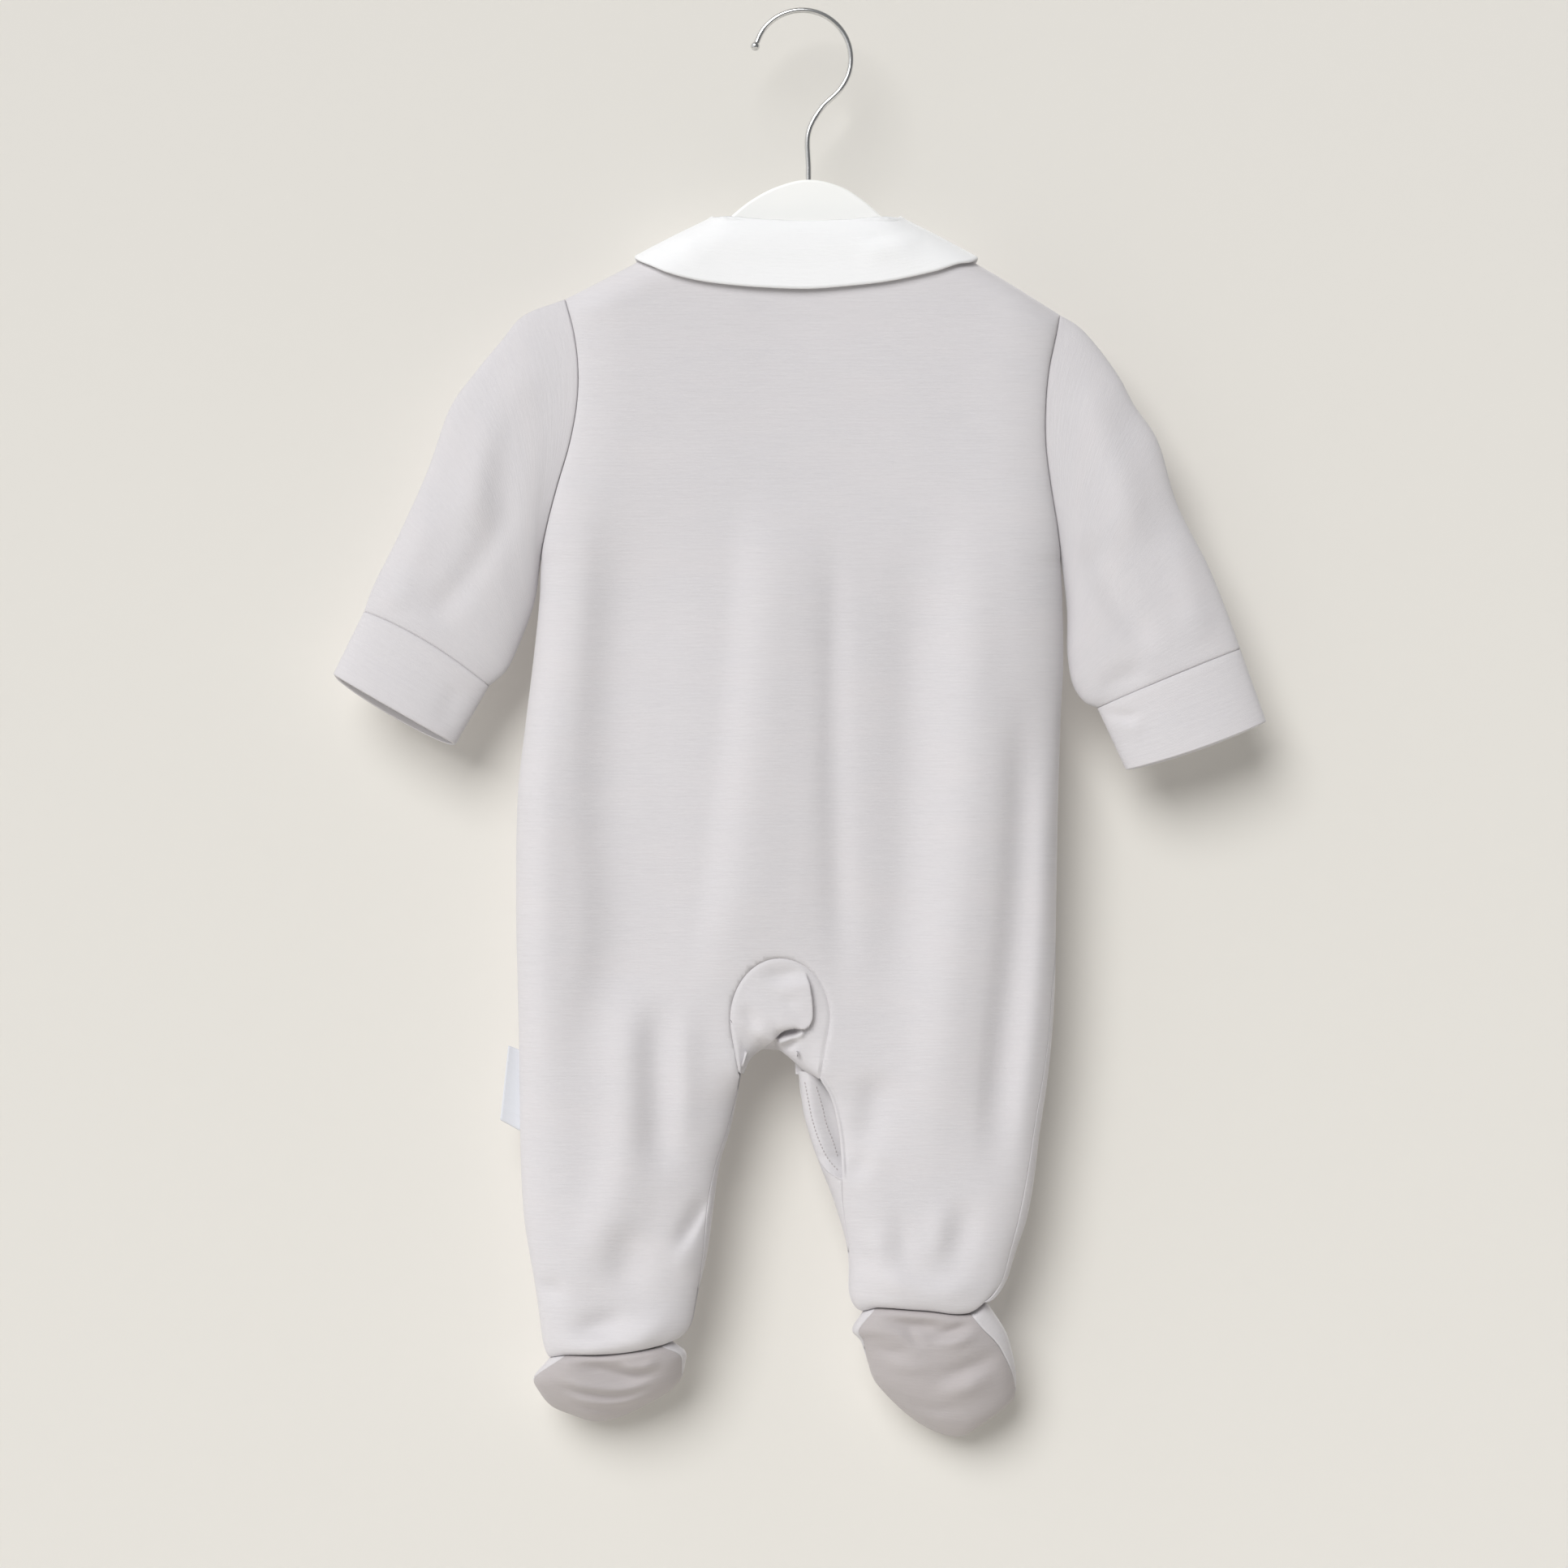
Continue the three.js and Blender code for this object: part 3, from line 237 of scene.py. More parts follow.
@dataclass
class Shell:
    """A piece's mesh in millimetres: points, faces and each point's place on the flat cut."""

    points: Array
    faces: list[tuple[int, ...]]
    lay: Array
    wrap: float = 0.0

    def normals(self) -> Array:
        """The unit normal at each point, from the faces around it."""
        total = np.zeros_like(self.points)
        for size in (3, 4):
            corners = np.array([f for f in self.faces if len(f) == size], int)
            if not len(corners):
                continue
            p = self.points[corners]
            cross = np.cross(p[:, 2] - p[:, 0], p[:, -1] - p[:, 1] if size == 4 else p[:, 1] - p[:, 0])
            cross = cross if size == 4 else -cross
            for k in range(size):
                np.add.at(total, corners[:, k], cross)
        return total / np.maximum(np.linalg.norm(total, axis=1, keepdims=True), 1e-9)

    def open_edges(self) -> Array:
        """The directed edges that only one face uses."""
        edges = np.array([(f[k], f[(k + 1) % len(f)]) for f in self.faces for k in range(len(f))], int)
        count = len(self.points)
        forth = edges[:, 0] * count + edges[:, 1]
        back = edges[:, 1] * count + edges[:, 0]
        return edges[~np.isin(forth, back)]

    def walled(self, thickness: float, lip: float) -> "Shell":
        """A closed wall whose outer face is this surface.

        Args:
            thickness: How thick the cloth is.
            lip: How far the turned edge rounds out past the cut.

        Returns:
            The wall, closed round its edges.
        """
        normals = self.normals()
        edges = self.open_edges()
        outward = np.zeros_like(self.points)
        run = self.points[edges[:, 1]] - self.points[edges[:, 0]]
        turned = np.cross(run, normals[edges[:, 0]])
        np.add.at(outward, edges[:, 0], turned)
        np.add.at(outward, edges[:, 1], turned)
        outward /= np.maximum(np.linalg.norm(outward, axis=1, keepdims=True), 1e-9)
        inner = self.points - normals * thickness
        rim = np.unique(edges)
        middle = (self.points[rim] + inner[rim]) / 2 + outward[rim] * lip
        count = len(self.points)
        at = {vertex: 2 * count + k for k, vertex in enumerate(rim.tolist())}
        faces = list(self.faces)
        faces += [tuple(count + v for v in reversed(f)) for f in self.faces]
        for a, b in edges.tolist():
            faces.append((b, a, at[a], at[b]))
            faces.append((at[b], at[a], count + a, count + b))
        lay = np.vstack([self.lay, self.lay, self.lay[rim]])
        return Shell(np.vstack([self.points, inner, middle]), faces, lay, self.wrap)

    def area(self) -> float:
        """The surface's area in square metres."""
        total = 0.0
        for size in (3, 4):
            corners = np.array([f for f in self.faces if len(f) == size], int)
            if not len(corners):
                continue
            p = self.points[corners]
            total += np.linalg.norm(np.cross(p[:, 1] - p[:, 0], p[:, 2] - p[:, 0]), axis=1).sum() / 2
            if size == 4:
                total += np.linalg.norm(np.cross(p[:, 2] - p[:, 0], p[:, 3] - p[:, 0]), axis=1).sum() / 2
        return float(total) * MM * MM

    def to_object(self, name: str, material: Material) -> Object:
        """Makes the Blender object, smooth shaded, with the flat cut as its UV map.

        Args:
            name: The piece's name.
            material: What it is made of.

        Returns:
            The new object, which rides on the part.
        """
        mesh = bpy.data.meshes.new(name)
        mesh.from_pydata((self.points * MM).tolist(), [], self.faces)
        mesh.polygons.foreach_set("use_smooth", [True] * len(mesh.polygons))
        index = np.empty(len(mesh.loops), np.int32)
        mesh.loops.foreach_get("vertex_index", index)
        lay = self.lay[index].copy()
        if self.wrap:
            starts = np.empty(len(mesh.polygons), np.int32)
            mesh.polygons.foreach_get("loop_start", starts)
            furthest = np.maximum.reduceat(lay[:, 0], starts)
            counts = np.diff(np.append(starts, len(index)))
            is_behind = np.repeat(furthest, counts) - lay[:, 0] > self.wrap / 2
            lay[is_behind, 0] += self.wrap
        mesh.uv_layers.new(name=LAY).data.foreach_set("uv", (lay * MM).astype(np.float32).ravel())
        mesh.materials.append(material)
        mesh.validate()
        piece = bpy.data.objects.new(name, mesh)
        bpy.context.scene.collection.objects.link(piece)
        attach(piece, BODY)
        return piece


@dataclass
class Weave:
    """A grid of points on a surface: rows run down the piece and columns across it.

    Out is 1 where the columns run to the right as seen from outside, and -1 where they run to the left.
    """

    points: Array
    out: int = 1
    is_around: bool = False
    cells: Array | None = None
    lay: Array | None = None

    def cut_size(self) -> tuple[float, float]:
        """The width and length in metres of the cloth that the grid takes, along its own surface."""
        across = self.points
        if self.is_around:
            across = np.concatenate([across, across[:, :1]], axis=1)
        width = np.linalg.norm(np.diff(across, axis=1), axis=2).sum(axis=1).max()
        length = np.linalg.norm(np.diff(self.points, axis=0), axis=2).sum(axis=0).max()
        return float(width) * MM, float(length) * MM

    def flat_lay(self) -> tuple[Array, float]:
        """Each point's place on the flat cut, and the width at which a tube's cut closes."""
        if self.lay is not None:
            return self.lay, 0.0
        width, length = (size / MM for size in self.cut_size())
        rows, columns = self.points.shape[:2]
        across = np.linspace(0, width, columns + self.is_around)[:columns]
        down = np.linspace(0, -length, rows)
        return np.stack(np.meshgrid(across, down), axis=2), width if self.is_around else 0.0

    def shell(self) -> Shell:
        """The grid as a surface of four-sided faces."""
        rows, columns = self.points.shape[:2]
        last = columns if self.is_around else columns - 1
        i, j = np.meshgrid(np.arange(rows - 1), np.arange(last), indexing="ij")
        keep = np.ones(i.shape, bool) if self.cells is None else self.cells
        i, j = i[keep], j[keep]
        k = (j + 1) % columns
        a, b, c, d = i * columns + j, i * columns + k, (i + 1) * columns + k, (i + 1) * columns + j
        order = (a, d, c, b) if self.out > 0 else (a, b, c, d)
        lay, wrap = self.flat_lay()
        faces = list(map(tuple, np.stack(order, axis=1).tolist()))
        return Shell(self.points.reshape(-1, 3), faces, lay.reshape(-1, 2), wrap)


@dataclass(frozen=True)
class Allowance:
    """The cloth past a seam, which turns in under its neighbour: reach along it and drop below it."""

    steps: Points = ((3.4, 1.4), (1.7, 1.2), (0.12, 0.4))

    def ring(self, edge: Array, into: Array) -> Array:
        """Turns in the end of a tube or the top of a foot.

        Args:
            edge: The points along the seam.
            into: The direction under the neighbour.

        Returns:
            Rows to go before the edge, furthest first.
        """
        centre = edge.mean(axis=0)
        centre[1] = 0
        away = edge - centre
        half_depth = np.abs(away[:, 1]).max()
        half_width = np.linalg.norm(away[:, [0, 2]], axis=1).max()
        rows = []
        for reach, drop in self.steps:
            across, depth = 1 - drop / half_width, 1 - drop / half_depth
            rows.append(centre + away * np.array([across, depth, across]) + into * reach)
        return np.stack(rows)


ALLOWANCE = Allowance()


def dressed(piece: Object, slot: str, *nodes: str) -> Object:
    """Hides the solids that a piece stands for, and logs how many faces it has."""
    if nodes:
        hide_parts(*nodes)
    log.info("%s: %d faces", piece.name, len(piece.data.polygons))
    return piece


def hang(
    weave: Weave,
    wall: tuple[float, float],
    name: str,
    slot: str,
    materials: Sequence[Material],
    surface: Shell | None = None,
    stitches: Shell | None = None,
) -> Object:
    """Args:
        weave: The cloth's grid, which says how large its flat cut is.
        wall: How thick the cloth is, and how far its turned edge rounds out.
        name: The piece's name, which is its solid's name and one word more.
        slot: Its material slot; not used.
        materials: What it is made of, and its thread where it is stitched.
        surface: Its outer surface, where that isn't the whole grid.
        stitches: The stitches on it.

    Returns:
        The piece.
    """
    shell = surface or weave.shell()
    node = name.rpartition("_")[0]
    piece = dressed(shell.walled(*wall).to_object(name, materials[0]), slot, node)
    sewn = [dressed(stitches.to_object(f"{node}_stitches", materials[1]), "jersey")] if stitches else []
    sizes = {"flat": weave.cut_size(), "area": shell.area()}
    return piece


def tube(path: Array, radii: Array, sides: int) -> Shell:
    """A round bar along a path.

    Args:
        path: Points along its middle.
        radii: Its radius at each point.
        sides: How many sides it has.

    Returns:
        The bar, closed where its radius goes to nothing.
    """
    along = np.gradient(path, axis=0)
    along /= np.linalg.norm(along, axis=1, keepdims=True)
    across = np.cross(along, np.array([0.0, 1.0, 0.0]))
    flat = np.linalg.norm(across, axis=1, keepdims=True)
    across = np.where(flat < 1e-6, np.array([1.0, 0.0, 0.0]), across / np.maximum(flat, 1e-9))
    other = np.cross(along, across)
    angle = np.linspace(0, 2 * math.pi, sides, endpoint=False)[None, :, None]
    ring = np.cos(angle) * across[:, None] + np.sin(angle) * other[:, None]
    return Weave(path[:, None] + ring * radii[:, None, None], out=-1, is_around=True).shell()


def joined(shells: Sequence[Shell]) -> Shell:
    """Many small shells as one."""
    faces: list[tuple[int, ...]] = []
    count = 0
    for shell in shells:
        faces += [tuple(count + v for v in face) for face in shell.faces]
        count += len(shell.points)
    return Shell(np.vstack([s.points for s in shells]), faces, np.vstack([s.lay for s in shells]))


@dataclass(frozen=True)
class Stitching:
    """A row of lockstitches along a line, each a short thread sunk at both ends."""

    pitch: float = 2.1
    length: float = 1.5
    radius: float = 0.2
    rise: float = 0.12
    sides: int = 5
    rings: int = 6

    def row(self, path: Array, outward: Array) -> Shell:
        """Builds the row.

        Args:
            path: Points along the row, on the cloth's surface.
            outward: The direction away from the cloth.

        Returns:
            All its stitches as one mesh.
        """
        line = spline(path, max(len(path), 3) * 8)
        along = np.concatenate([[0], np.cumsum(np.linalg.norm(np.diff(line, axis=0), axis=1))])
        stitches = []
        for start in np.arange(self.pitch / 2, along[-1] - self.length, self.pitch):
            share = np.linspace(0, 1, self.rings)
            at = start + share * self.length
            points = read_line(at, along, line)
            arch = np.sin(math.pi * share)
            points += outward * (self.rise * (2 * arch - 1))[:, None]
            stitches.append(tube(points, self.radius * np.sqrt(0.15 + 0.85 * arch), self.sides))
        return joined(stitches)


class Signal:
    """A number inside a material, which takes part in sums by adding Math nodes."""

    def __init__(self, bench: "Bench", socket: NodeSocket) -> None:
        """Wraps a node's output."""
        self.bench = bench
        self.socket = socket

    def maths(self, operation: str, first: object, second: object = 0.0) -> "Signal":
        """Adds one Math node."""
        node = self.bench.add("ShaderNodeMath", {"operation": operation}, {0: first, 1: second})
        return Signal(self.bench, node.outputs[0])

    def __add__(self, other: object) -> "Signal":
        """Sum."""
        return self.maths("ADD", self, other)

    __radd__ = __add__

    def __mul__(self, other: object) -> "Signal":
        """Product."""
        return self.maths("MULTIPLY", self, other)

    __rmul__ = __mul__

    def __sub__(self, other: object) -> "Signal":
        """Difference."""
        return self.maths("SUBTRACT", self, other)

    def __rsub__(self, other: object) -> "Signal":
        """Difference from a number."""
        return self.maths("SUBTRACT", other, self)

    def sine(self) -> "Signal":
        """Sine."""
        return self.maths("SINE", self)

    def size(self) -> "Signal":
        """Distance from zero."""
        return self.maths("ABSOLUTE", self)


class Bench:
    """Where a material's nodes are put together."""

    def __init__(self, tree: NodeTree) -> None:
        """Starts on an empty tree."""
        self.tree = tree
        tree.nodes.clear()

    @classmethod
    def material(cls, name: str) -> tuple["Bench", Material]:
        """A bench on a new material."""
        made = bpy.data.materials.new(name)
        made.use_nodes = True
        return cls(made.node_tree), made

    def add(self, kind: str, settings: dict[str, object], sockets: dict) -> Node:
        """Adds one node.

        Args:
            kind: The node's type.
            settings: Its settings, set before its sockets; stops are a ramp's places and colours.
            sockets: The value or link of each input, by name or number.

        Returns:
            The node.
        """
        node = self.tree.nodes.new(kind)
        for key, value in settings.items():
            if key == "stops":
                elements = node.color_ramp.elements
                while len(elements) < len(value):
                    elements.new(0.5)
                for element, (place, colour) in zip(elements, value):
                    element.position = place
                    element.color = (*colour, 1.0)
            else:
                setattr(node, key, value)
        for key, value in sockets.items():
            socket = node.inputs[key]
            source = value.socket if isinstance(value, Signal) else value
            if isinstance(source, NodeSocket):
                self.tree.links.new(source, socket)
            else:
                socket.default_value = source
        return node

    def noise(self, place: NodeSocket, scale: tuple[float, float], detail: float = 2.0) -> Signal:
        """Noise over the flat cut, with its own scale across and down."""
        node = self.add("ShaderNodeVectorMath", {"operation": "MULTIPLY"}, {0: place, 1: (*scale, 1.0)})
        settings = {"noise_dimensions": "2D"}
        sockets = {"Vector": node.outputs[0], "Scale": 1.0, "Detail": detail}
        return Signal(self, self.add("ShaderNodeTexNoise", settings, sockets).outputs[0])

    def blend(self, factor: object, first: object, second: object) -> NodeSocket:
        """Mixes two colours by a factor."""
        settings = {"data_type": "RGBA", "clamp_factor": True}
        node = self.add("ShaderNodeMix", settings, {0: factor, 6: rgba(first), 7: rgba(second)})
        return node.outputs[2]

    def finish(self, sockets: dict, normal: NodeSocket | None = None) -> None:
        """Ends the material in one Principled shader."""
        if normal is not None:
            sockets = {**sockets, "Normal": normal}
        shader = self.add("ShaderNodeBsdfPrincipled", {}, sockets)
        self.add("ShaderNodeOutputMaterial", {}, {"Surface": shader.outputs[0]})


def rgba(colour: object) -> object:
    """A plain colour with its alpha, or a link as it is."""
    return (*colour, 1.0) if isinstance(colour, tuple) else colour


def srgb(red: int, green: int, blue: int) -> Colour:
    """A colour in the scene's own units from the eye's 0 to 255."""
    values = (channel / 255 for channel in (red, green, blue))
    return tuple(v / 12.92 if v <= 0.04045 else ((v + 0.055) / 1.055) ** 2.4 for v in values)


@dataclass(frozen=True)
class KnitFinish:
    """Fine single jersey: V-shaped stitches in wales and courses, uneven yarn and a soft nap."""

    name: str
    tone: Colour
    deep: Colour
    flush: Colour
    melange: float = 0.5
    wale: float = 0.62
    course: float = 0.48
    relief: float = 0.00007
    sheen: float = 0.25

    def build(self) -> Material:
        """Makes the material."""
        bench, made = Bench.material(self.name)
        place = bench.add("ShaderNodeUVMap", {"uv_map": LAY}, {}).outputs[0]
        split = bench.add("ShaderNodeSeparateXYZ", {}, {0: place})
        across, down = Signal(bench, split.outputs[0]), Signal(bench, split.outputs[1])
        slub = bench.noise(place, (70.0, 900.0), 3.0)
        cloud = bench.noise(place, (22.0, 60.0), 2.0)
        fleck = bench.noise(place, (420.0, 1500.0), 1.0)
        depth = (slub - 0.5) * self.melange + (fleck - 0.5) * (0.5 * self.melange) + 0.5
        colour = bench.blend(depth, self.tone, self.deep)
        colour = bench.blend((cloud - 0.35) * 0.9, colour, self.flush)
        turn = 2 * math.pi / MM
        leg = (across * (turn / self.wale)).sine().size()
        row = (down * (turn / self.course) + leg * 1.6).sine()
        height = leg * 0.5 + row * 0.3 + (slub - 0.5) * 2.4 + (fleck - 0.5) * 1.2
        sockets = {"Strength": 0.55, "Distance": self.relief, "Height": height}
        bump = bench.add("ShaderNodeBump", {}, sockets)
        bench.finish(
            {
                "Base Color": colour,
                "Roughness": 0.86,
                "Specular IOR Level": 0.25,
                "Sheen Weight": self.sheen,
                "Sheen Roughness": 0.45,
            },
            bump.outputs[0],
        )
        return made


@dataclass(frozen=True)
class SmoothFinish:
    """A moulded or painted surface with the faintest unevenness."""

    name: str
    tone: Colour
    deep: Colour
    roughness: float
    metallic: float = 0.0
    grain: float = 60.0
    relief: float = 0.00003
    coat: float = 0.0

    def build(self) -> Material:
        """Makes the material."""
        bench, made = Bench.material(self.name)
        place = bench.add("ShaderNodeUVMap", {"uv_map": LAY}, {}).outputs[0]
        cloud = bench.noise(place, (self.grain, self.grain), 4.0)
        fine = bench.noise(place, (12 * self.grain, 12 * self.grain), 2.0)
        colour = bench.blend(cloud, self.tone, self.deep)
        rough = (fine - 0.5) * (0.25 * self.roughness) + self.roughness
        sockets = {"Strength": 0.4, "Distance": self.relief, "Height": fine + cloud}
        bump = bench.add("ShaderNodeBump", {}, sockets)
        bench.finish(
            {"Base Color": colour, "Roughness": rough, "Metallic": self.metallic, "Coat Weight": self.coat},
            bump.outputs[0],
        )
        return made


@dataclass(frozen=True)
class WallFinish:
    """Matt wall paint that is seen from its own side alone."""

    name: str = "wall_paint"
    tone: Colour = srgb(228, 225, 219)

    def build(self) -> Material:
        """Makes the material."""
        bench, made = Bench.material(self.name)
        place = bench.add("ShaderNodeTexCoord", {}, {}).outputs["Object"]
        cloud = bench.noise(place, (3.0, 3.0), 2.0)
        colour = bench.blend(cloud, self.tone, tuple(0.985 * c for c in self.tone))
        paint = bench.add("ShaderNodeBsdfDiffuse", {}, {"Color": colour})
        clear = bench.add("ShaderNodeBsdfTransparent", {}, {})
        faces_away = bench.add("ShaderNodeNewGeometry", {}, {}).outputs["Backfacing"]
        sockets = {0: faces_away, 1: paint.outputs[0], 2: clear.outputs[0]}
        surface = bench.add("ShaderNodeMixShader", {}, sockets)
        bench.add("ShaderNodeOutputMaterial", {}, {"Surface": surface.outputs[0]})
        return made


@dataclass(frozen=True)
class Finishes:
    """Every finish of the sleepsuit and its hanger, made once."""

    jersey: Material
    sole: Material
    collar: Material
    tape: Material
    thread: Material
    paint: Material
    snap: Material
    chrome: Material

    @classmethod
    def make(cls) -> "Finishes":
        """Makes them all."""
        grey = {"tone": (0.722, 0.704, 0.722), "deep": (0.634, 0.612, 0.630), "flush": (0.712, 0.681, 0.692)}
        white = {"tone": (0.955, 0.958, 0.965), "deep": (0.905, 0.908, 0.918), "flush": (0.94, 0.942, 0.948)}
        # The sole's jersey is the grey jersey darkened by shade. This is painted shade for the sole, which
        # faces down and away from the light, with a slightly warmer tint. The thread takes the same darkened
        # grey.
        shade, haze = (0.735, 0.705, 0.69), (0.79, 0.80, 0.84)
        sole_shade_and_thread_grey = {name: tuple(s * c for s, c in zip(shade, colour)) for name, colour in grey.items()}
        milk = {name: tuple(s * c for s, c in zip(haze, colour)) for name, colour in white.items()}
        finishes = {
            "jersey": KnitFinish("jersey", **grey),
            "sole": KnitFinish("sole_jersey", **sole_shade_and_thread_grey),
            "collar": KnitFinish("white_knit", **white, melange=0.2, wale=0.5, course=0.5),
            "tape": KnitFinish("label_tape", **milk, melange=0.2, wale=0.9, course=0.35, sheen=0.1),
            "thread": KnitFinish("thread", **sole_shade_and_thread_grey, wale=0.3, course=0.3, relief=0.00003),
            "paint": SmoothFinish("white_paint", (0.97, 0.97, 0.95), (0.94, 0.94, 0.92), 0.42, coat=0.2),
            "snap": SmoothFinish("snap_plastic", (0.86, 0.86, 0.86), (0.82, 0.82, 0.82), 0.25, coat=0.3),
            "chrome": SmoothFinish("chrome", (0.78, 0.78, 0.77), (0.70, 0.70, 0.70), 0.16, metallic=1.0),
        }
        return cls(**{name: finish.build() for name, finish in finishes.items()})


OUTLINE = SizeTable(
    ("z", "left", "right"),
    (
        (-127, -105.5, 115.0), (-142, -101.5, 112.0), (-158, -99.5, 108.6), (-174, -100.0, 107.0),
        (-192, -103.3, 107.0), (-210, -108.6, 109.2), (-228, -113.4, 112.2), (-243, -116.3, 114.0),
        (-260, -117.0, 114.8), (-289, -120.0, 115.2), (-315, -123.2, 114.0), (-347, -126.7, 113.0),
        (-400, -127.4, 112.0), (-433, -126.7, 111.5), (-467, -126.0, 109.0), (-498, -125.6, 104.6),
        (-518, -125.0, 102.2), (-535, -123.8, 99.0), (-550, -121.5, 94.0), (-563, -119.2, 90.0),
        (-580, -116.8, 84.0), (-597, -114.8, 80.0),
    ),
)
INSEAM = SizeTable(
    ("z", "back_left", "back_right", "front_left", "front_right"),
    (
        (-455, -25.0, 0.0, -23.0, -4.0), (-470, -28.0, 6.0, -27.5, -2.2),
        (-480, -30.0, 11.8, -29.3, -1.2), (-495, -34.0, 15.5, -32.5, 2.2),
        (-510, -39.0, 16.9, -37.0, 7.0), (-527, -42.5, 17.6, -39.6, 13.5),
        (-549, -44.5, 20.2, -42.5, 19.6), (-567, -47.2, 20.4, -46.6, 20.0),
        (-586, -50.5, 21.5, -50.0, 21.0),
    ),
)
FULLNESS = SizeTable(
    ("z", "back", "front"),
    (
        (-90, 11.0, 10.5), (-130, 11.5, 11.0), (-180, 13.0, 12.0), (-243, 15.0, 13.5),
        (-330, 16.0, 14.0), (-420, 15.0, 13.5), (-470, 13.5, 12.5), (-520, 12.5, 12.0),
        (-600, 12.0, 12.0),
    ),
)
SHOULDER_LINE = SizeTable(
    ("x", "z"),
    (
        (-105.5, -127.0), (-80.0, -114.0), (-60.0, -103.5), (-42.7, -95.0), (-34.0, -90.5),
        (-20.0, -89.0), (22.0, -89.0), (36.0, -90.5), (45.3, -95.0), (63.0, -104.0),
        (83.0, -115.0), (113.8, -134.0),
    ),
)
ANKLE = SizeTable(
    ("share", "left", "right"),
    (
        (0, -596, -571), (0.12, -594.5, -576), (0.5, -593.5, -574.5), (0.88, -590.5, -573.5),
        (1, -588.5, -575.5),
    ),
)
HEM_CORNERS = {Hand.LEFT: (2.5, 8.0), Hand.RIGHT: (6.0, 5.5)}
SIDE_SEAM = SizeTable(
    ("z", "inset"),
    (
        (-404, 0.0), (-419, 0.5), (-433, 1.7), (-450, 1.9), (-469, 2.6), (-483, 3.1), (-502, 3.4),
        (-517, 4.0), (-535, 4.3), (-553, 2.9), (-571, 2.6),
    ),
)

BACK_FOLDS = (
    Fold(-4.4, 19, ((-76, -205), (-80, -282), (-83, -354), (-80, -408), (-94, -480)), lean=-0.35),
    Fold(1.8, 9, ((-112, -262), (-116, -330), (-117, -430), (-115, -510)), fade=0.3),
    Fold(4.8, 22, ((-10, -205), (-13, -282), (-20, -354), (-27, -408), (-35, -448)), lean=-0.45),
    Fold(-2.0, 7, ((12, -215), (13, -282), (14, -354), (16, -408), (18, -450)), fade=0.3),
    Fold(-2.4, 12, ((50, -220), (48, -282), (46, -354), (43, -408), (34, -462)), fade=0.3),
    Fold(4.4, 16, ((78, -205), (76, -282), (74, -354), (69, -408), (60, -480), (53, -535)), lean=-0.1),
    Fold(-4.2, 10, ((98, -290), (97, -354), (94, -408), (87, -480), (85, -530)), lean=-0.2),
    Fold(2.4, 6, ((108, -310), (107, -354), (105, -408), (98, -480), (94, -530)), fade=0.3),
    Fold(4.2, 13, ((-76, -424), (-75, -480), (-80, -520), (-90, -545), (-94, -570)), fade=0.25, lean=-0.1),
    Fold(-3.6, 9, ((-65, -432), (-65, -480), (-63, -520)), fade=0.3),
    Fold(1.8, 7, ((-53, -432), (-53, -480), (-56, -508)), fade=0.35),
    Fold(-3.4, 3.2, ((-59, -549), (-52, -542), (-45, -530), (-41, -520)), fade=0.4, lean=-0.4),
    Fold(2.0, 6, ((-60, -556), (-50, -550), (-42, -539)), fade=0.45),
    Fold(-2.2, 9, ((-78, -532), (-78, -552), (-84, -568)), fade=0.4),
    Fold(-2.6, 4.5, ((-121, -561), (-113, -565), (-103, -564)), fade=0.45),
    Fold(-3.2, 6, ((-106, -586), (-92, -582), (-74, -577)), fade=0.45),
    Fold(3.0, 5.5, ((-112, -592), (-90, -590), (-70, -585), (-52, -575)), fade=0.35),
    Fold(2.2, 5.5, ((22, -556), (40, -562), (60, -566), (84, -560)), fade=0.35),
    Fold(-1.3, 5, ((40, -526), (44, -545), (45, -562)), fade=0.5),
    Fold(1.2, 5, ((30, -534), (33, -548), (34, -558)), fade=0.5),
    Fold(-1.0, 4, ((24, -545), (27, -552), (29, -560)), fade=0.5),
    Fold(-1.8, 7, ((72, -520), (70, -542), (62, -560)), fade=0.45),
    Fold(1.4, 6, ((60, -522), (59, -542), (53, -558)), fade=0.45),
    Fold(-2.0, 5, ((33, -506), (24, -511), (19, -520)), fade=0.45),
    Fold(-2.8, 8, ((33, -466), (30, -488), (24, -508)), fade=0.35),
)
FRONT_FOLDS = (
    Fold(3.6, 17, ((-50, -210), (-56, -330), (-70, -440)), lean=0.3),
    Fold(-3.2, 13, ((-86, -240), (-92, -390)), fade=0.3),
    Fold(2.2, 10, ((-106, -280), (-110, -420), (-106, -500)), fade=0.3),
    Fold(-2.6, 11, ((-26, -240), (-30, -360), (-38, -430)), lean=0.2),
    Fold(3.8, 15, ((52, -230), (50, -340), (62, -440), (60, -530)), lean=-0.2),
    Fold(-3.2, 11, ((84, -260), (82, -380), (80, -470)), fade=0.3),
    Fold(2.2, 9, ((102, -300), (102, -420), (92, -520)), fade=0.3),
    Fold(-2.4, 9, ((24, -250), (26, -350), (36, -440)), lean=-0.2),
    Fold(3.6, 13, ((-82, -440), (-86, -550)), fade=0.3),
    Fold(-2.8, 8, ((-60, -470), (-64, -540)), fade=0.35),
    Fold(-2.6, 5, ((-104, -560), (-84, -566), (-64, -560)), fade=0.35),
    Fold(-2.4, 5, ((36, -540), (56, -548), (76, -542)), fade=0.35),
)
LEAF = SizeTable(
    ("z", "left"),
    (
        (-468, -2.5), (-476.6, -1.4), (-487.8, 0.0), (-499.3, 3.2), (-507.6, 6.1), (-510.8, 8.2),
        (-513.4, 10.8), (-515.4, 14.0), (-516.6, 16.6),
    ),
)


def left_edge(z: Array) -> Array:
    """Where the suit's left side is at each height."""
    return OUTLINE.read("left", z)


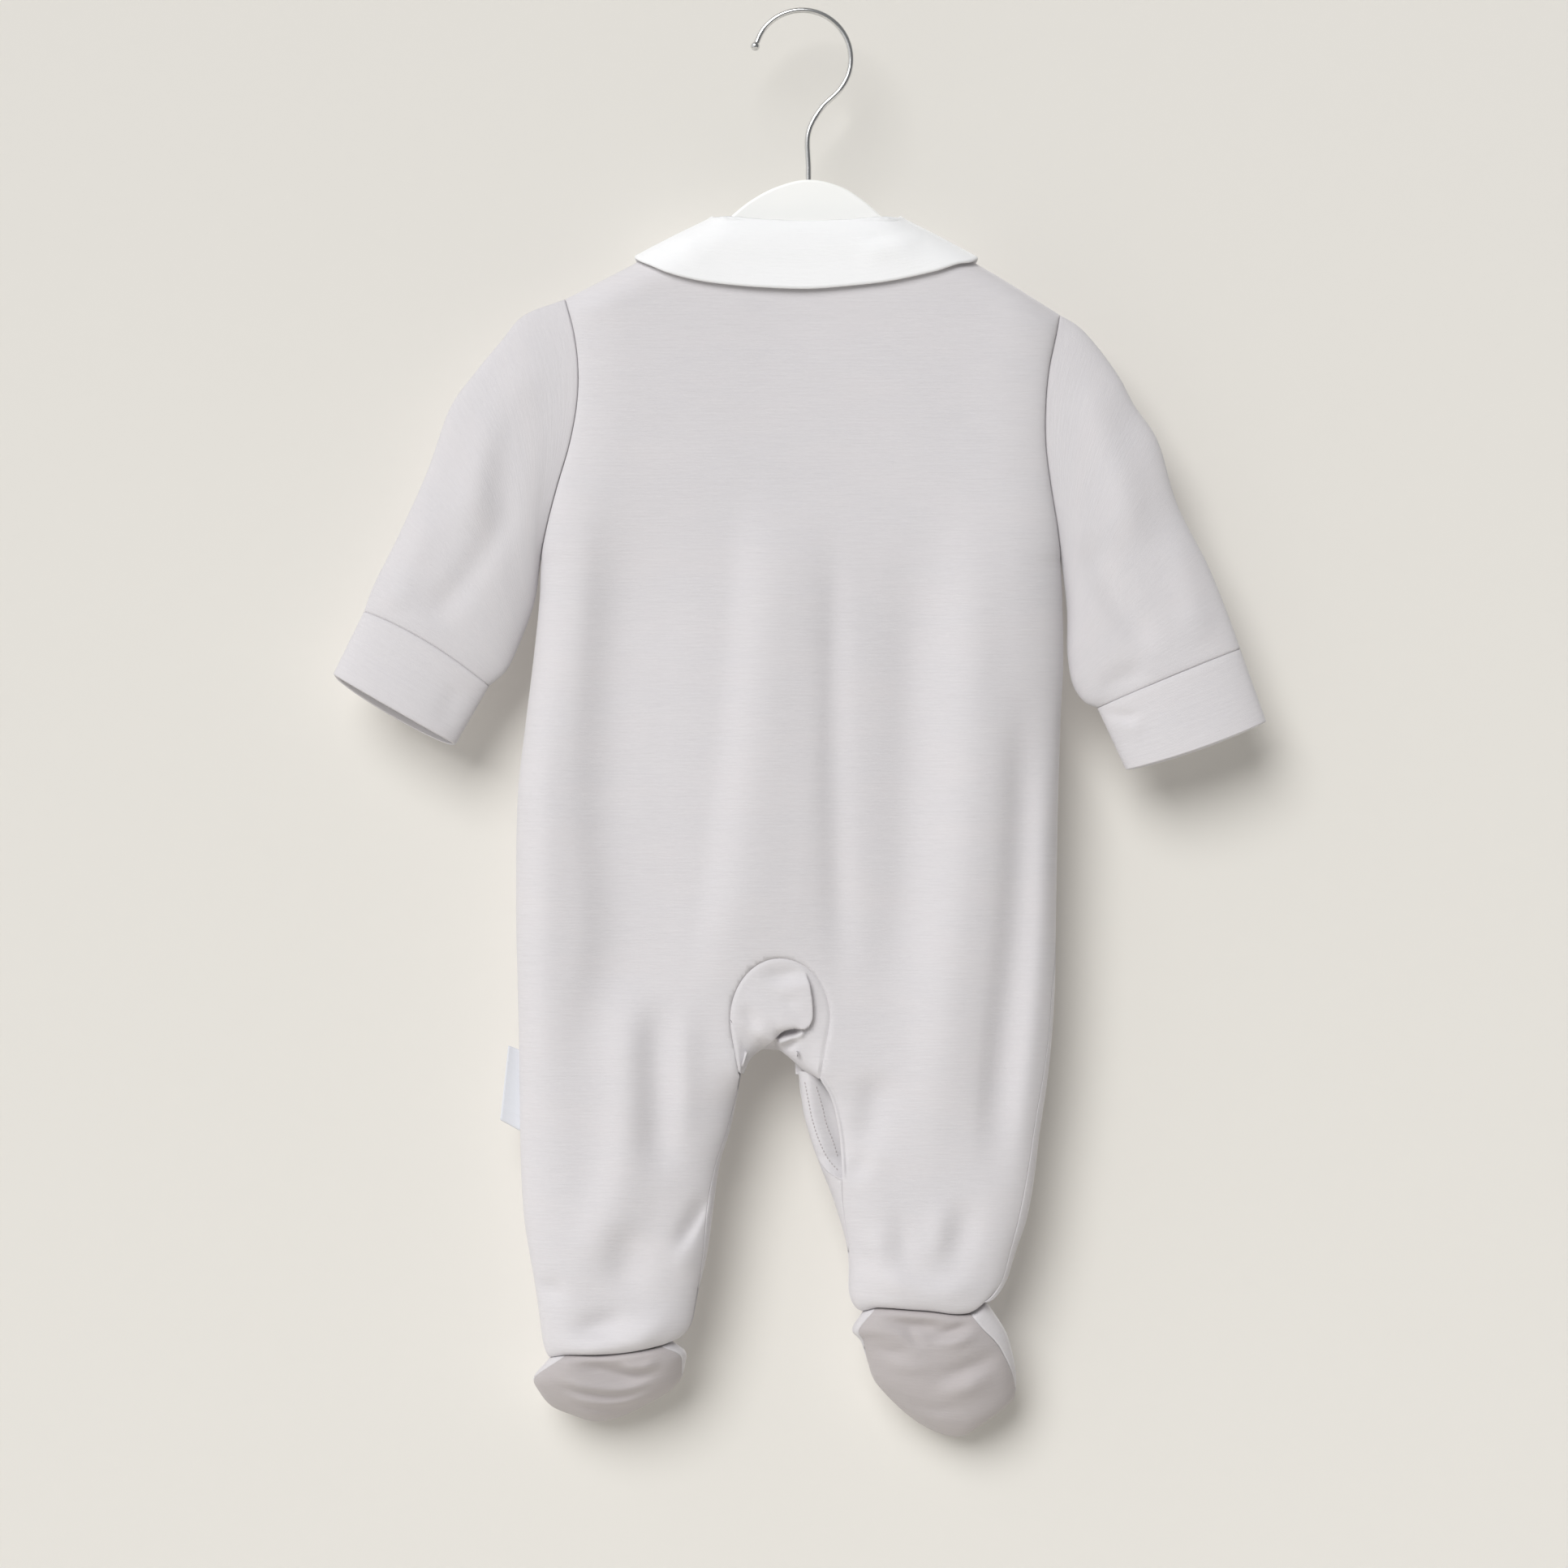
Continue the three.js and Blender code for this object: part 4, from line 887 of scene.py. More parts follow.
def right_edge(z: Array) -> Array:
    """Where the suit's right side is at each height."""
    return OUTLINE.read("right", z)


def shoulder_line(x: Array) -> Array:
    """The height of the shoulder ridge."""
    return SHOULDER_LINE.read("z", x)


@dataclass
class BodyForm:
    """The rounded form that the suit's body and legs take as they hang."""

    side_reach: float = 24
    leg_reach: float = 24
    shoulder_reach: float = 16
    crotch_fade: float = 24
    underarm_z: float = -243
    armhole_opening: float = 8
    back_crotch_z: float = -462
    front_crotch_z: float = -458
    neck_x: float = 1.3
    neck_half_width: float = 44
    neck_side_z: float = -95.5
    neck_back_drop: float = 10.5
    neck_front_drop: float = 32
    neck_front_shape: float = 0.8
    left_shoulder: tuple[float, float] = (-105.5, -127.0)
    right_shoulder: tuple[float, float] = (113.8, -134.0)
    leaf_share: float = 0.35
    leaf_foot_z: float = -503
    leaf_foot_reach: float = 14

    def inner_silhouette(self, side: Side, hand: Hand, z: Array) -> Array:
        """Where a leg's inside turns over, which is nearer the back's own edge where the leaf gapes."""
        front = INSEAM.read(f"front_{hand.value}", z)
        if side is Side.FRONT:
            return front
        back = INSEAM.read(f"back_{hand.value}", z)
        if hand is Hand.LEFT:
            return np.maximum(front, back)
        closed = smooth_step((self.leaf_foot_z - np.asarray(z, float)) / self.leaf_foot_reach)
        return mix(back, np.minimum(front, back), mix(self.leaf_share, 1.0, closed))

    def crotch_z(self, side: Side) -> float:
        """The height where the legs part."""
        return self.back_crotch_z if side is Side.BACK else self.front_crotch_z

    def folds(self, side: Side) -> tuple[Fold, ...]:
        """The folds of one side."""
        return BACK_FOLDS if side is Side.BACK else FRONT_FOLDS

    def fullness(self, side: Side, z: Array) -> Array:
        """How far a side stands from the middle plane."""
        return FULLNESS.read(side.name.lower(), z)

    def armhole(self, z: Array, shoulder_z: float) -> Array:
        """Half the depth of the armhole's oval at each height."""
        share = np.clip((shoulder_z - z) / (shoulder_z - self.underarm_z), 0, 1)
        return self.armhole_opening * 2 * np.sqrt(share * (1 - share))

    def torso(self, side: Side, x: Array, z: Array) -> Array:
        """The outer surface above the crotch, as its place in y."""
        left, right = left_edge(z), right_edge(z)
        share = np.clip((x - left) / (right - left), 0, 1)
        armholes = (self.armhole(z, self.left_shoulder[1]), self.armhole(z, self.right_shoulder[1]))
        opening = np.maximum(SEAM / 2, mix(*armholes, share))
        sides = quarter_round(np.minimum(x - left, right - x), self.side_reach)
        top = quarter_round(shoulder_line(x) - z, self.shoulder_reach)
        lift = folds_lift(self.folds(side), x, z) + ripple(x, z, side.value)
        return side.value * (opening + (self.fullness(side, z) - opening + lift) * sides * top)

    def leg(self, side: Side, x: Array, z: Array, outer: Array, inner: Array) -> Array:
        """The outer surface of a leg, as its place in y."""
        below = self.crotch_z(side) - z
        inside = quarter_round(np.abs(inner - x), self.leg_reach)
        inside = mix(1.0, inside, smooth_step(below / self.crotch_fade))
        outside = mix(
            quarter_round(np.abs(x - outer), self.side_reach),
            quarter_round(np.abs(x - outer), self.leg_reach),
            smooth_step(below / (2 * self.crotch_fade)),
        )
        lift = folds_lift(self.folds(side), x, z) + ripple(x, z, side.value)
        return side.value * (SEAM / 2 + (self.fullness(side, z) - SEAM / 2 + lift) * outside * inside)

    def surface(self, side: Side, x: Array, z: Array, split_x: float) -> Array:
        """The outer surface anywhere on a side, by which leg a place belongs to."""
        is_left = x < split_x
        outer = np.where(is_left, left_edge(z), right_edge(z))
        left, right = (self.inner_silhouette(side, hand, z) for hand in Hand)
        inner = np.where(is_left, left, right)
        legs = self.leg(side, x, z, outer, inner)
        return np.where(z >= self.crotch_z(side), self.torso(side, x, z), legs)

    def top_edge(self, side: Side, x: Array) -> Array:
        """The height of a panel's upper edge: shoulder seams with the neckline between."""
        share = np.clip(np.abs(x - self.neck_x) / self.neck_half_width, 0, 1)
        if side is Side.BACK:
            neckline = self.neck_side_z - self.neck_back_drop * np.sqrt(1 - share * share)
        else:
            drop = self.neck_front_drop * (1 - share * share) ** self.neck_front_shape
            neckline = self.neck_side_z - drop
        return np.where(share < 1, neckline, shoulder_line(x))


FORM = BodyForm()


@dataclass
class Panel:
    """The grid of the back or the front: the torso's rows, then the legs' with the gap between."""

    side: Side
    edge_columns: int = 18
    leg_columns: int = 46
    inner_columns: int = 10
    middle_columns: int = 16
    shoulder_rows: int = 12
    torso_rows: int = 160
    leg_rows: int = 56
    hem_rows: int = 6
    hem_curl: float = 0.28
    hem_reach: float = 5.0
    corner_reach: float = 11.0
    edge_share: float = 0.28
    inner_share: float = 0.955
    shoulder_share: float = 0.045
    hem_share: float = 0.05
    points: Array = field(init=False)
    split: tuple[int, int] = field(init=False)
    first_leg_row: int = field(init=False)

    def __post_init__(self) -> None:
        """Works out the grid's points."""
        parts = self.leg_shares()
        name = self.side.name.lower()
        crotch = FORM.crotch_z(self.side)
        left, right = left_edge(crotch), right_edge(crotch) - self.inset(crotch)
        inner = [(INSEAM.read(f"{name}_{leg.value}", crotch) - left) / (right - left) for leg in Hand]
        middle = np.linspace(inner[0], inner[1], self.middle_columns + 2)[1:-1]
        shares = np.concatenate([parts * inner[0], middle, 1 - parts[::-1] * (1 - inner[1])])
        self.split = (len(parts), len(parts) + len(middle))
        torso = self.torso_grid(shares, crotch)
        self.first_leg_row = len(torso)
        legs = self.leg_grid(parts, shares, crotch)
        self.points = np.concatenate([torso, legs])

    def inset(self, z: Array) -> Array:
        """How far the right side seam lies inside the silhouette on the back."""
        inset = np.where(np.asarray(z) > SIDE_SEAM.rows[0][0], 0.0, SIDE_SEAM.read("inset", z))
        return inset if self.side is Side.BACK else np.zeros(np.shape(z))

    def leg_shares(self) -> Array:
        """Where the columns of one leg stand, as shares from the outside seam."""
        turn = np.linspace(0, math.pi / 2, self.edge_columns)
        edge = self.edge_share * (1 - np.cos(turn))
        plain = np.linspace(self.edge_share, self.inner_share, self.leg_columns)[1:]
        inner = 1 - (1 - self.inner_share) * (1 - np.sin(np.linspace(0, math.pi / 2, self.inner_columns)))
        return np.concatenate([edge, plain, inner[1:]])

    def torso_grid(self, shares: Array, crotch: float) -> Array:
        """The rows from the shoulders and neck to the crotch."""
        turn = np.linspace(0, math.pi / 2, self.shoulder_rows)
        down = np.concatenate(
            [
                self.shoulder_share * (1 - np.cos(turn)),
                np.linspace(self.shoulder_share, 1, self.torso_rows)[1:],
            ]
        )[:, None]
        top_x = mix(FORM.left_shoulder[0], FORM.right_shoulder[0], shares)
        z = mix(FORM.top_edge(self.side, top_x)[None], crotch, down)
        left_z = mix(FORM.left_shoulder[1], crotch, down)
        right_z = mix(FORM.right_shoulder[1], crotch, down)
        x = mix(left_edge(left_z), right_edge(right_z) - self.inset(right_z), shares[None])
        y = FORM.torso(self.side, x, z)
        return np.stack([x, y, z], axis=2)

    def leg_grid(self, parts: Array, shares: Array, crotch: float) -> Array:
        """The rows below the crotch, both legs side by side."""
        turn = np.linspace(0, math.pi / 2, self.hem_rows)
        plain = np.linspace(0, 1 - self.hem_share, self.leg_rows)[1:]
        hem = 1 - self.hem_share * (1 - np.sin(turn))
        down = np.concatenate([plain, hem[1:]])[:, None]
        name = self.side.name.lower()
        halves = []
        for leg, edge in ((Hand.LEFT, left_edge), (Hand.RIGHT, right_edge)):
            bottom = ANKLE.read(leg.value, parts)[None]
            z = mix(crotch, bottom, down)
            outer_z = mix(crotch, bottom[:, :1], down)
            inset = self.inset(outer_z) if leg is Hand.RIGHT else 0.0
            outer = edge(outer_z)
            inner_z = mix(crotch, bottom[:, -1:], down)
            inner = INSEAM.read(f"{name}_{leg.value}", inner_z)
            x = mix(outer - inset, inner, parts[None])
            y = FORM.leg(self.side, x, z, outer, FORM.inner_silhouette(self.side, leg, inner_z))
            y = y * self.hem_turn(z - bottom)
            x = x + self.corner_pull(leg, z - bottom, parts[None])
            halves.append(np.stack([x, y, z], axis=2))
        left, right = halves[0], halves[1][:, ::-1]
        count = len(shares) - 2 * len(parts)
        share = np.linspace(0, 1, count + 2)[1:-1][None, :, None]
        between = mix(left[:, -1:], right[:, :1], share)
        return np.concatenate([left, between, right], axis=1)

    def hem_turn(self, above: Array) -> Array:
        """How a leg's hem draws in towards the ankle's seam."""
        return mix(1 - self.hem_curl, 1.0, quarter_round(above, self.hem_reach))

    def corner_pull(self, leg: Hand, above: Array, share: Array) -> Array:
        """How far across a leg's hem corners are drawn in, above the hem and at a share across."""
        outside, inside = HEM_CORNERS[leg]
        pull = outside * (1 - smooth_step(share / 0.5)) - inside * smooth_step((share - 0.5) / 0.5)
        pull = pull * (1 - quarter_round(above, self.corner_reach))
        return pull if leg is Hand.LEFT else -pull

    def cells(self) -> Array:
        """Which cells hold cloth: all but the gap between the legs."""
        rows, columns = self.points.shape[:2]
        keep = np.ones((rows - 1, columns - 1), bool)
        keep[self.first_leg_row - 1 :, self.split[0] - 1 : self.split[1]] = False
        return keep


@dataclass
class Gusset:
    """The round piece let into the back at the crotch, tucked under to the front."""

    x: float = -10.4
    z: float = -446
    half_width: float = 22.1
    height: float = 27.4
    left_foot: tuple[float, float] = (-28.8, -469)
    right_foot: tuple[float, float] = (7.2, -472)
    arch_steps: int = 60
    seam_dip: float = 0.55
    seam_reach: float = 1.1
    wall: tuple[float, float] = (0.7, 0.2)
    columns: int = 180
    rows: int = 110
    under: Places = (
        (-27.2, -470, -4), (-22.6, -462.3, -5.4), (-17.0, -457.9, -6), (-12.6, -455.9, -5.5),
        (-9.6, -459.3, -5.5), (-4.2, -464.6, -6), (1.0, -469.2, -5.5), (5.9, -471.9, -4),
    )
    front: Places = (
        (-26.4, -470.6, 2.2), (-22.0, -461.5, 9.5), (-13, -460.5, 10.6), (-5.2, -461.5, 9.5),
        (-3.4, -470.6, 2.2),
    )
    folds: tuple[Fold, ...] = (
        Fold(-1.2, 3.4, ((-20, -425), (-10, -426.5), (0, -424.5)), fade=0.45),
        Fold(-0.5, 2.6, ((-12, -436), (-5, -437.5), (1, -436.5)), fade=0.5),
        Fold(-1.3, 3.2, ((-27, -438), (-23.5, -445), (-18.5, -453)), fade=0.45),
        Fold(-5.5, 2.1, ((-13.6, -454.2), (-9.5, -451.8), (-5.0, -451.0), (0.0, -450.6)), fade=0.3),
        Fold(2.4, 1.5, ((-13.0, -457.2), (-7.0, -454.6), (1.4, -451.0)), fade=0.2),
        Fold(-1.8, 2.0, ((-11, -459.6), (-6.4, -457.4), (-2.0, -454.6)), fade=0.35),
    )
    fold_line: Points = (
        (1.0, -423.6), (1.9, -431.0), (3.0, -440.0), (2.6, -446.4), (0.4, -448.9), (-4.0, -448.7),
        (-9.0, -449.9), (-13.6, -454.0), (-17.5, -459.0),
    )
    bulge_y: float = 0.92
    roll_down: float = 0.86
    roll_y: float = 0.45
    fold_rise: float = 3.0
    fold_spread: float = 12
    fold_edge: float = 0.8
    fold_overhang: float = 1.5
    groove_depth: float = 0.45
    groove_width: float = 1.2

    def outline(self, inset: float) -> Array:
        """The seam's line in x and z: a round arch over two short sides, drawn in by an inset."""
        turn = np.linspace(math.pi, 0, self.arch_steps)
        arch = np.stack(
            [
                self.x + (self.half_width - inset) * np.cos(turn),
                self.z + (self.height - inset) * np.sin(turn),
            ],
            axis=1,
        )
        left = (self.left_foot[0] + inset, self.left_foot[1])
        right = (self.right_foot[0] - inset, self.right_foot[1])
        return np.vstack([left, spline([left, *arch[:4:3]], 8)[1:-1], arch, right])

    def distance(self, x: Array, z: Array) -> tuple[Array, Array, Array]:
        """How far each place lies outside the seam.

        Args:
            x: Places across.
            z: Places in height.

        Returns:
            The distance, below zero inside, and the x and z of the nearest place on the seam.
        """
        line = self.outline(0)
        near = Nearest.on(line, x, z)
        is_inside = np.zeros(x.shape, bool)
        for (ax, az), (bx, bz) in zip(line, np.roll(line, -1, axis=0)):
            crosses = (az > z) != (bz > z)
            reach = (z - az) / ((bz - az) or 1e-9) * (bx - ax) + ax
            is_inside ^= crosses & (x < reach)
        return np.where(is_inside, -near.distance, near.distance), x - near.away_x, z - near.away_z

    def fold_over(self, x: Array, z: Array) -> tuple[Array, Array, Array]:
        """The pillow of cloth that is folded over to the right and down.

        Args:
            x: Places across.
            z: Places in height.

        Returns:
            How far the cloth moves in x, outwards and in z.
        """
        line = spline(self.fold_line, 60)
        steps = np.diff(line, axis=0)
        near = Nearest.on(line, x, z)
        dx, dz = np.moveaxis(steps[near.step.astype(int)], -1, 0)
        length = np.hypot(dx, dz)
        past = np.sign(near.away_z * dx - near.away_x * dz) * near.distance
        along = (near.step + near.share) / len(steps)
        height = smooth_step(along / 0.16) * smooth_step((1 - along) / 0.12)
        step = smooth_step(0.5 - past / self.fold_edge) * height
        lift = self.fold_rise * step * np.exp(-((np.minimum(past, 0) / self.fold_spread) ** 2))
        groove = np.exp(-(((past - self.groove_width) / self.groove_width) ** 2)) * height
        shift = self.fold_overhang * step * np.exp(-((past / 3.0) ** 2))
        return -shift * dz / length, lift - self.groove_depth * groove, shift * dx / length

    def build(self, finishes: Finishes) -> Object:
        """Makes the gusset.

        Args:
            finishes: The suit's finishes.

        Returns:
            The piece.
        """
        arch = spline(self.outline(SEAM), self.columns, 2)
        low = spline(self.under, self.columns)[:, [0, 2, 1]]
        front = spline(self.front, self.columns)[:, [0, 2, 1]]
        seam_y = FORM.surface(Side.BACK, arch[:, 0], arch[:, 1], self.x)
        seam = np.stack([arch[:, 0], seam_y, arch[:, 1]], axis=1)
        columns = []
        for j in range(self.columns):
            bulge = mix(seam[j], low[j], 0.5)
            bulge[1] = seam[j, 1] * self.bulge_y
            roll = mix(seam[j], low[j], self.roll_down)
            roll[1] = mix(seam[j, 1], low[j, 1], self.roll_y)
            columns.append(spline([seam[j], bulge, roll, low[j], front[j]], self.rows))
        points = np.stack(columns, axis=1)
        x, y, z = points[..., 0], points[..., 1], points[..., 2]
        away, _, _ = self.distance(x, z)
        settle = smooth_step(-away / 3.0) * smooth_step((-1.0 - y) / 4.0)
        shift_x, over, shift_z = self.fold_over(x, z)
        lift = folds_lift(self.folds, x, z) + over
        dip = self.seam_dip * np.exp(-((away / self.seam_reach) ** 2)) * (y < 0)
        lay = np.stack([x, z + np.maximum(y + 6, 0)], axis=2)
        moved = np.stack([x + shift_x * settle, y - lift * settle + dip, z + shift_z * settle], axis=2)
        under = []
        for reach, drop in ALLOWANCE.steps:
            edge = spline(self.outline(-reach), self.columns, 2)
            under.append(np.stack([edge[:, 0], moved[0, :, 1] + drop, edge[:, 1]], axis=1))
        lay = np.concatenate([np.stack([row[:, [0, 2]] for row in under]), lay])
        weave = Weave(np.concatenate([np.stack(under), moved]), lay=lay)
        return hang(weave, self.wall, "gusset_cloth", "jersey", (finishes.jersey,))


GUSSET = Gusset()


@dataclass
class BackPanel:
    """The one-piece back with its legs, cut out round the gusset."""

    wall: tuple[float, float] = (0.9, 0.16)
    seam_dip: float = 0.55
    seam_reach: float = 1.1
    band_width: float = 1.9
    band_rise: float = 0.7
    line_depth: float = 0.5

    def trimmed(self, weave: Weave) -> Shell:
        """Cuts the gusset's round out of the grid, with the grid's nearest points drawn onto the seam.

        Args:
            weave: The panel's grid.

        Returns:
            The panel's surface, with a clean edge along the seam.
        """
        points = weave.points
        x, z = points[..., 0].copy(), points[..., 2].copy()
        away, near_x, near_z = GUSSET.distance(x, z)
        is_on = np.zeros(away.shape, bool)
        for first, second in (
            ((slice(None), slice(0, -1)), (slice(None), slice(1, None))),
            ((slice(0, -1), slice(None)), (slice(1, None), slice(None))),
        ):
            crosses = (away[first] < 0) != (away[second] < 0)
            first_is_near = np.abs(away[first]) <= np.abs(away[second])
            is_on[first] |= crosses & first_is_near
            is_on[second] |= crosses & ~first_is_near
        x, z = np.where(is_on, near_x, x), np.where(is_on, near_z, z)
        y = np.where(is_on, FORM.surface(Side.BACK, x, z, GUSSET.x), points[..., 1])
        beside = np.where(is_on, 0.0, away)
        y = y + self.seam_dip * np.exp(-((beside / self.seam_reach) ** 2)) * (np.abs(y) > 1)
        moved = np.stack([x, y, z], axis=2)
        is_in = (away < 0) & ~is_on
        is_out = (away >= 0) & ~is_on
        shell = Weave(moved, out=weave.out, cells=weave.cells, lay=weave.lay).shell()
        inside, outside, on = is_in.ravel(), is_out.ravel(), is_on.ravel()
        flat_away = away.ravel()
        faces = []
        for face in shell.faces:
            kept = tuple(v for v in face if not inside[v])
            if len(kept) == 4 and (any(outside[v] for v in face) or sum(flat_away[v] for v in face) > 0):
                faces.append(face)
            elif len(kept) == 3 and any(outside[v] for v in kept):
                faces.append(kept)
        log.info("gusset seam: %d points of the back lie on it", int(on.sum()))
        return Shell(shell.points, faces, shell.lay)

    def turn_edge(self, panel: Panel) -> None:
        """Raises the turned band along the back's edge beside the leaf, with a fine line inside it."""
        leg = panel.points[panel.first_leg_row :, panel.split[1] :]
        x, z = leg[..., 0], leg[..., 2]
        beside = x - INSEAM.read("back_right", z)
        along = smooth_step((LEAF.rows[0][0] + 2 - z) / 6) * smooth_step((z - LEAF.rows[-1][0]) / 6)
        band = self.band_rise * np.exp(-(((beside - 0.8) / 0.9) ** 2))
        line = self.line_depth * np.exp(-(((beside - self.band_width) / 0.5) ** 2))
        leg[..., 1] += (line - band) * along

    def build(self, finishes: Finishes) -> Object:
        """Makes the back.

        Args:
            finishes: The suit's finishes.

        Returns:
            The piece.
        """
        panel = Panel(Side.BACK)
        self.turn_edge(panel)
        lay = panel.points[..., [0, 2]]
        weave = Weave(panel.points, cells=panel.cells(), lay=lay)
        surface = tidy(self.trimmed(weave))
        return hang(weave, self.wall, "back_cloth", "jersey", (finishes.jersey,), surface)


def tidy(shell: Shell) -> Shell:
    """Drops the points that no face uses."""
    used = np.unique([v for face in shell.faces for v in face])
    place = np.full(len(shell.points), -1)
    place[used] = np.arange(len(used))
    faces = [tuple(int(place[v]) for v in face) for face in shell.faces]
    return Shell(shell.points[used], faces, shell.lay[used], shell.wrap)


@dataclass
class FrontPanels:
    """The two halves of the front, which open down the middle and wrap round the right side seam."""

    wall: tuple[float, float] = (0.9, 0.14)
    middle_gap: float = 0.3
    wrap_columns: int = 6

    def leg_strips(self, panel: Panel, cells: Array) -> None:
        """Turns each half round the leg's inside as far as the back's seam, in the grid's spare columns.

        Args:
            panel: The front's grid, whose points are changed.
            cells: Which of its cells hold cloth, changed too.
        """
        rows = slice(panel.first_leg_row, None)
        for hand, at, step in ((Hand.LEFT, panel.split[0] - 1, 1), (Hand.RIGHT, panel.split[1], -1)):
            edge = panel.points[rows, at]
            z = edge[:, 2]
            seam = INSEAM.read(f"back_{hand.value}", z) + step * SEAM
            if hand is Hand.RIGHT:
                seam = np.where(z > LEAF.rows[-1][0], np.minimum(seam, LEAF.read("left", z) - SEAM), seam)
            inner = INSEAM.read(f"front_{hand.value}", z)
            width = np.maximum((inner - seam) * step, 0)
            outer = left_edge(z) if hand is Hand.LEFT else right_edge(z)
            for k in range(1, self.wrap_columns + 1):
                x = inner - step * width * k / self.wrap_columns
                y = FORM.leg(Side.BACK, x, z, outer, inner) * panel.hem_turn(z - z[-1])
                panel.points[rows, at + step * k] = np.stack([x + edge[:, 0] - inner, y, z], axis=1)
                cells[panel.first_leg_row :, at + step * k - (step > 0)] = width[1:] > SEAM

    def wrapped(self, points: Array) -> tuple[Array, Array]:
        """Adds the strip of the right half that shows on the back beside the side seam."""
        edge = points[:, -1]
        inset = Panel(Side.BACK).inset(edge[:, 2])
        strips = []
        for k in range(1, self.wrap_columns + 1):
            share = k / self.wrap_columns
            x = edge[:, 0] - np.maximum(inset - SEAM, 0) * share
            y = FORM.surface(Side.BACK, x, edge[:, 2], GUSSET.x)
            near = smooth_step(inset / 0.8)
            strips.append(np.stack([x, mix(edge[:, 1], y, near), edge[:, 2]], axis=1))
        kept = np.tile((inset[1:] > SEAM)[:, None], (1, self.wrap_columns))
        return np.concatenate([points, np.stack(strips, axis=1)], axis=1), kept

    def build(self, finishes: Finishes) -> list[Object]:
        """Makes both halves.

        Args:
            finishes: The suit's finishes.

        Returns:
            The two pieces, left first.
        """
        columns = {"edge_columns": 12, "leg_columns": 30, "middle_columns": 17}
        panel = Panel(Side.FRONT, **columns, torso_rows=110, leg_rows=60)
        cells = panel.cells()
        self.leg_strips(panel, cells)
        middle = (panel.split[0] + panel.split[1]) // 2
        made = []
        for hand in Hand:
            is_left = hand is Hand.LEFT
            columns = slice(0, middle + 1) if is_left else slice(middle, None)
            points = panel.points[:, columns].copy()
            kept = cells[:, :middle] if is_left else cells[:, middle:]
            points[:, -1 if is_left else 0, 0] += (-1 if is_left else 1) * self.middle_gap / 2
            if not is_left:
                points, strip = self.wrapped(points)
                kept = np.concatenate([kept, strip], axis=1)
            steps = np.linalg.norm(np.diff(points, axis=1), axis=2)
            run = np.concatenate([np.zeros((len(points), 1)), np.cumsum(steps, axis=1)], axis=1)
            lay = np.stack([run, points[..., 2]], axis=2)
            weave = Weave(points, out=-1, cells=kept, lay=lay)
            name = f"front_{hand.value}_cloth"
            piece = hang(
                weave, self.wall, name, "jersey", (finishes.jersey,), tidy(weave.shell())
            )
            made.append(piece)
        return made


def spanned(top: Array, bottom: Array, start: Array, end: Array, down: Array, across: Array) -> Array:
    """A surface spanned between four edge lines.

    Args:
        top: The upper edge's points, one for each column.
        bottom: The lower edge's points.
        start: The points of the edge at column 0, one for each row.
        end: The points of the last column's edge.
        down: The share of each row.
        across: The share of each column.

    Returns:
        A grid of points.
    """
    d, a = down[:, None, None], across[None, :, None]
    between = top[None] * (1 - d) + bottom[None] * d + start[:, None] * (1 - a) + end[:, None] * a
    corners = start[0] * (1 - d) * (1 - a) + end[0] * (1 - d) * a
    corners = corners + start[-1] * d * (1 - a) + end[-1] * d * a
    return between - corners


@dataclass
class SleeveCut:
    """One sleeve's flat outline in x and z, from the armhole to the cuff's hem."""

    hand: Hand
    out: int
    shoulder_z: float
    outer: Points
    inner: Points
    seam_arch: float
    hem_outer: tuple[float, float]
    hem_inner: tuple[float, float]
    hem_sag: float
    mouth_drop: float
    folds: tuple[Fold, ...]
    cuff_folds: tuple[Fold, ...]
    gap: float = 0.3

    def armhole_x(self, z: Array) -> Array:
        """Where the armhole's seam is at each height, just outside the body."""
        return left_edge(z) - self.gap if self.hand is Hand.LEFT else right_edge(z) + self.gap


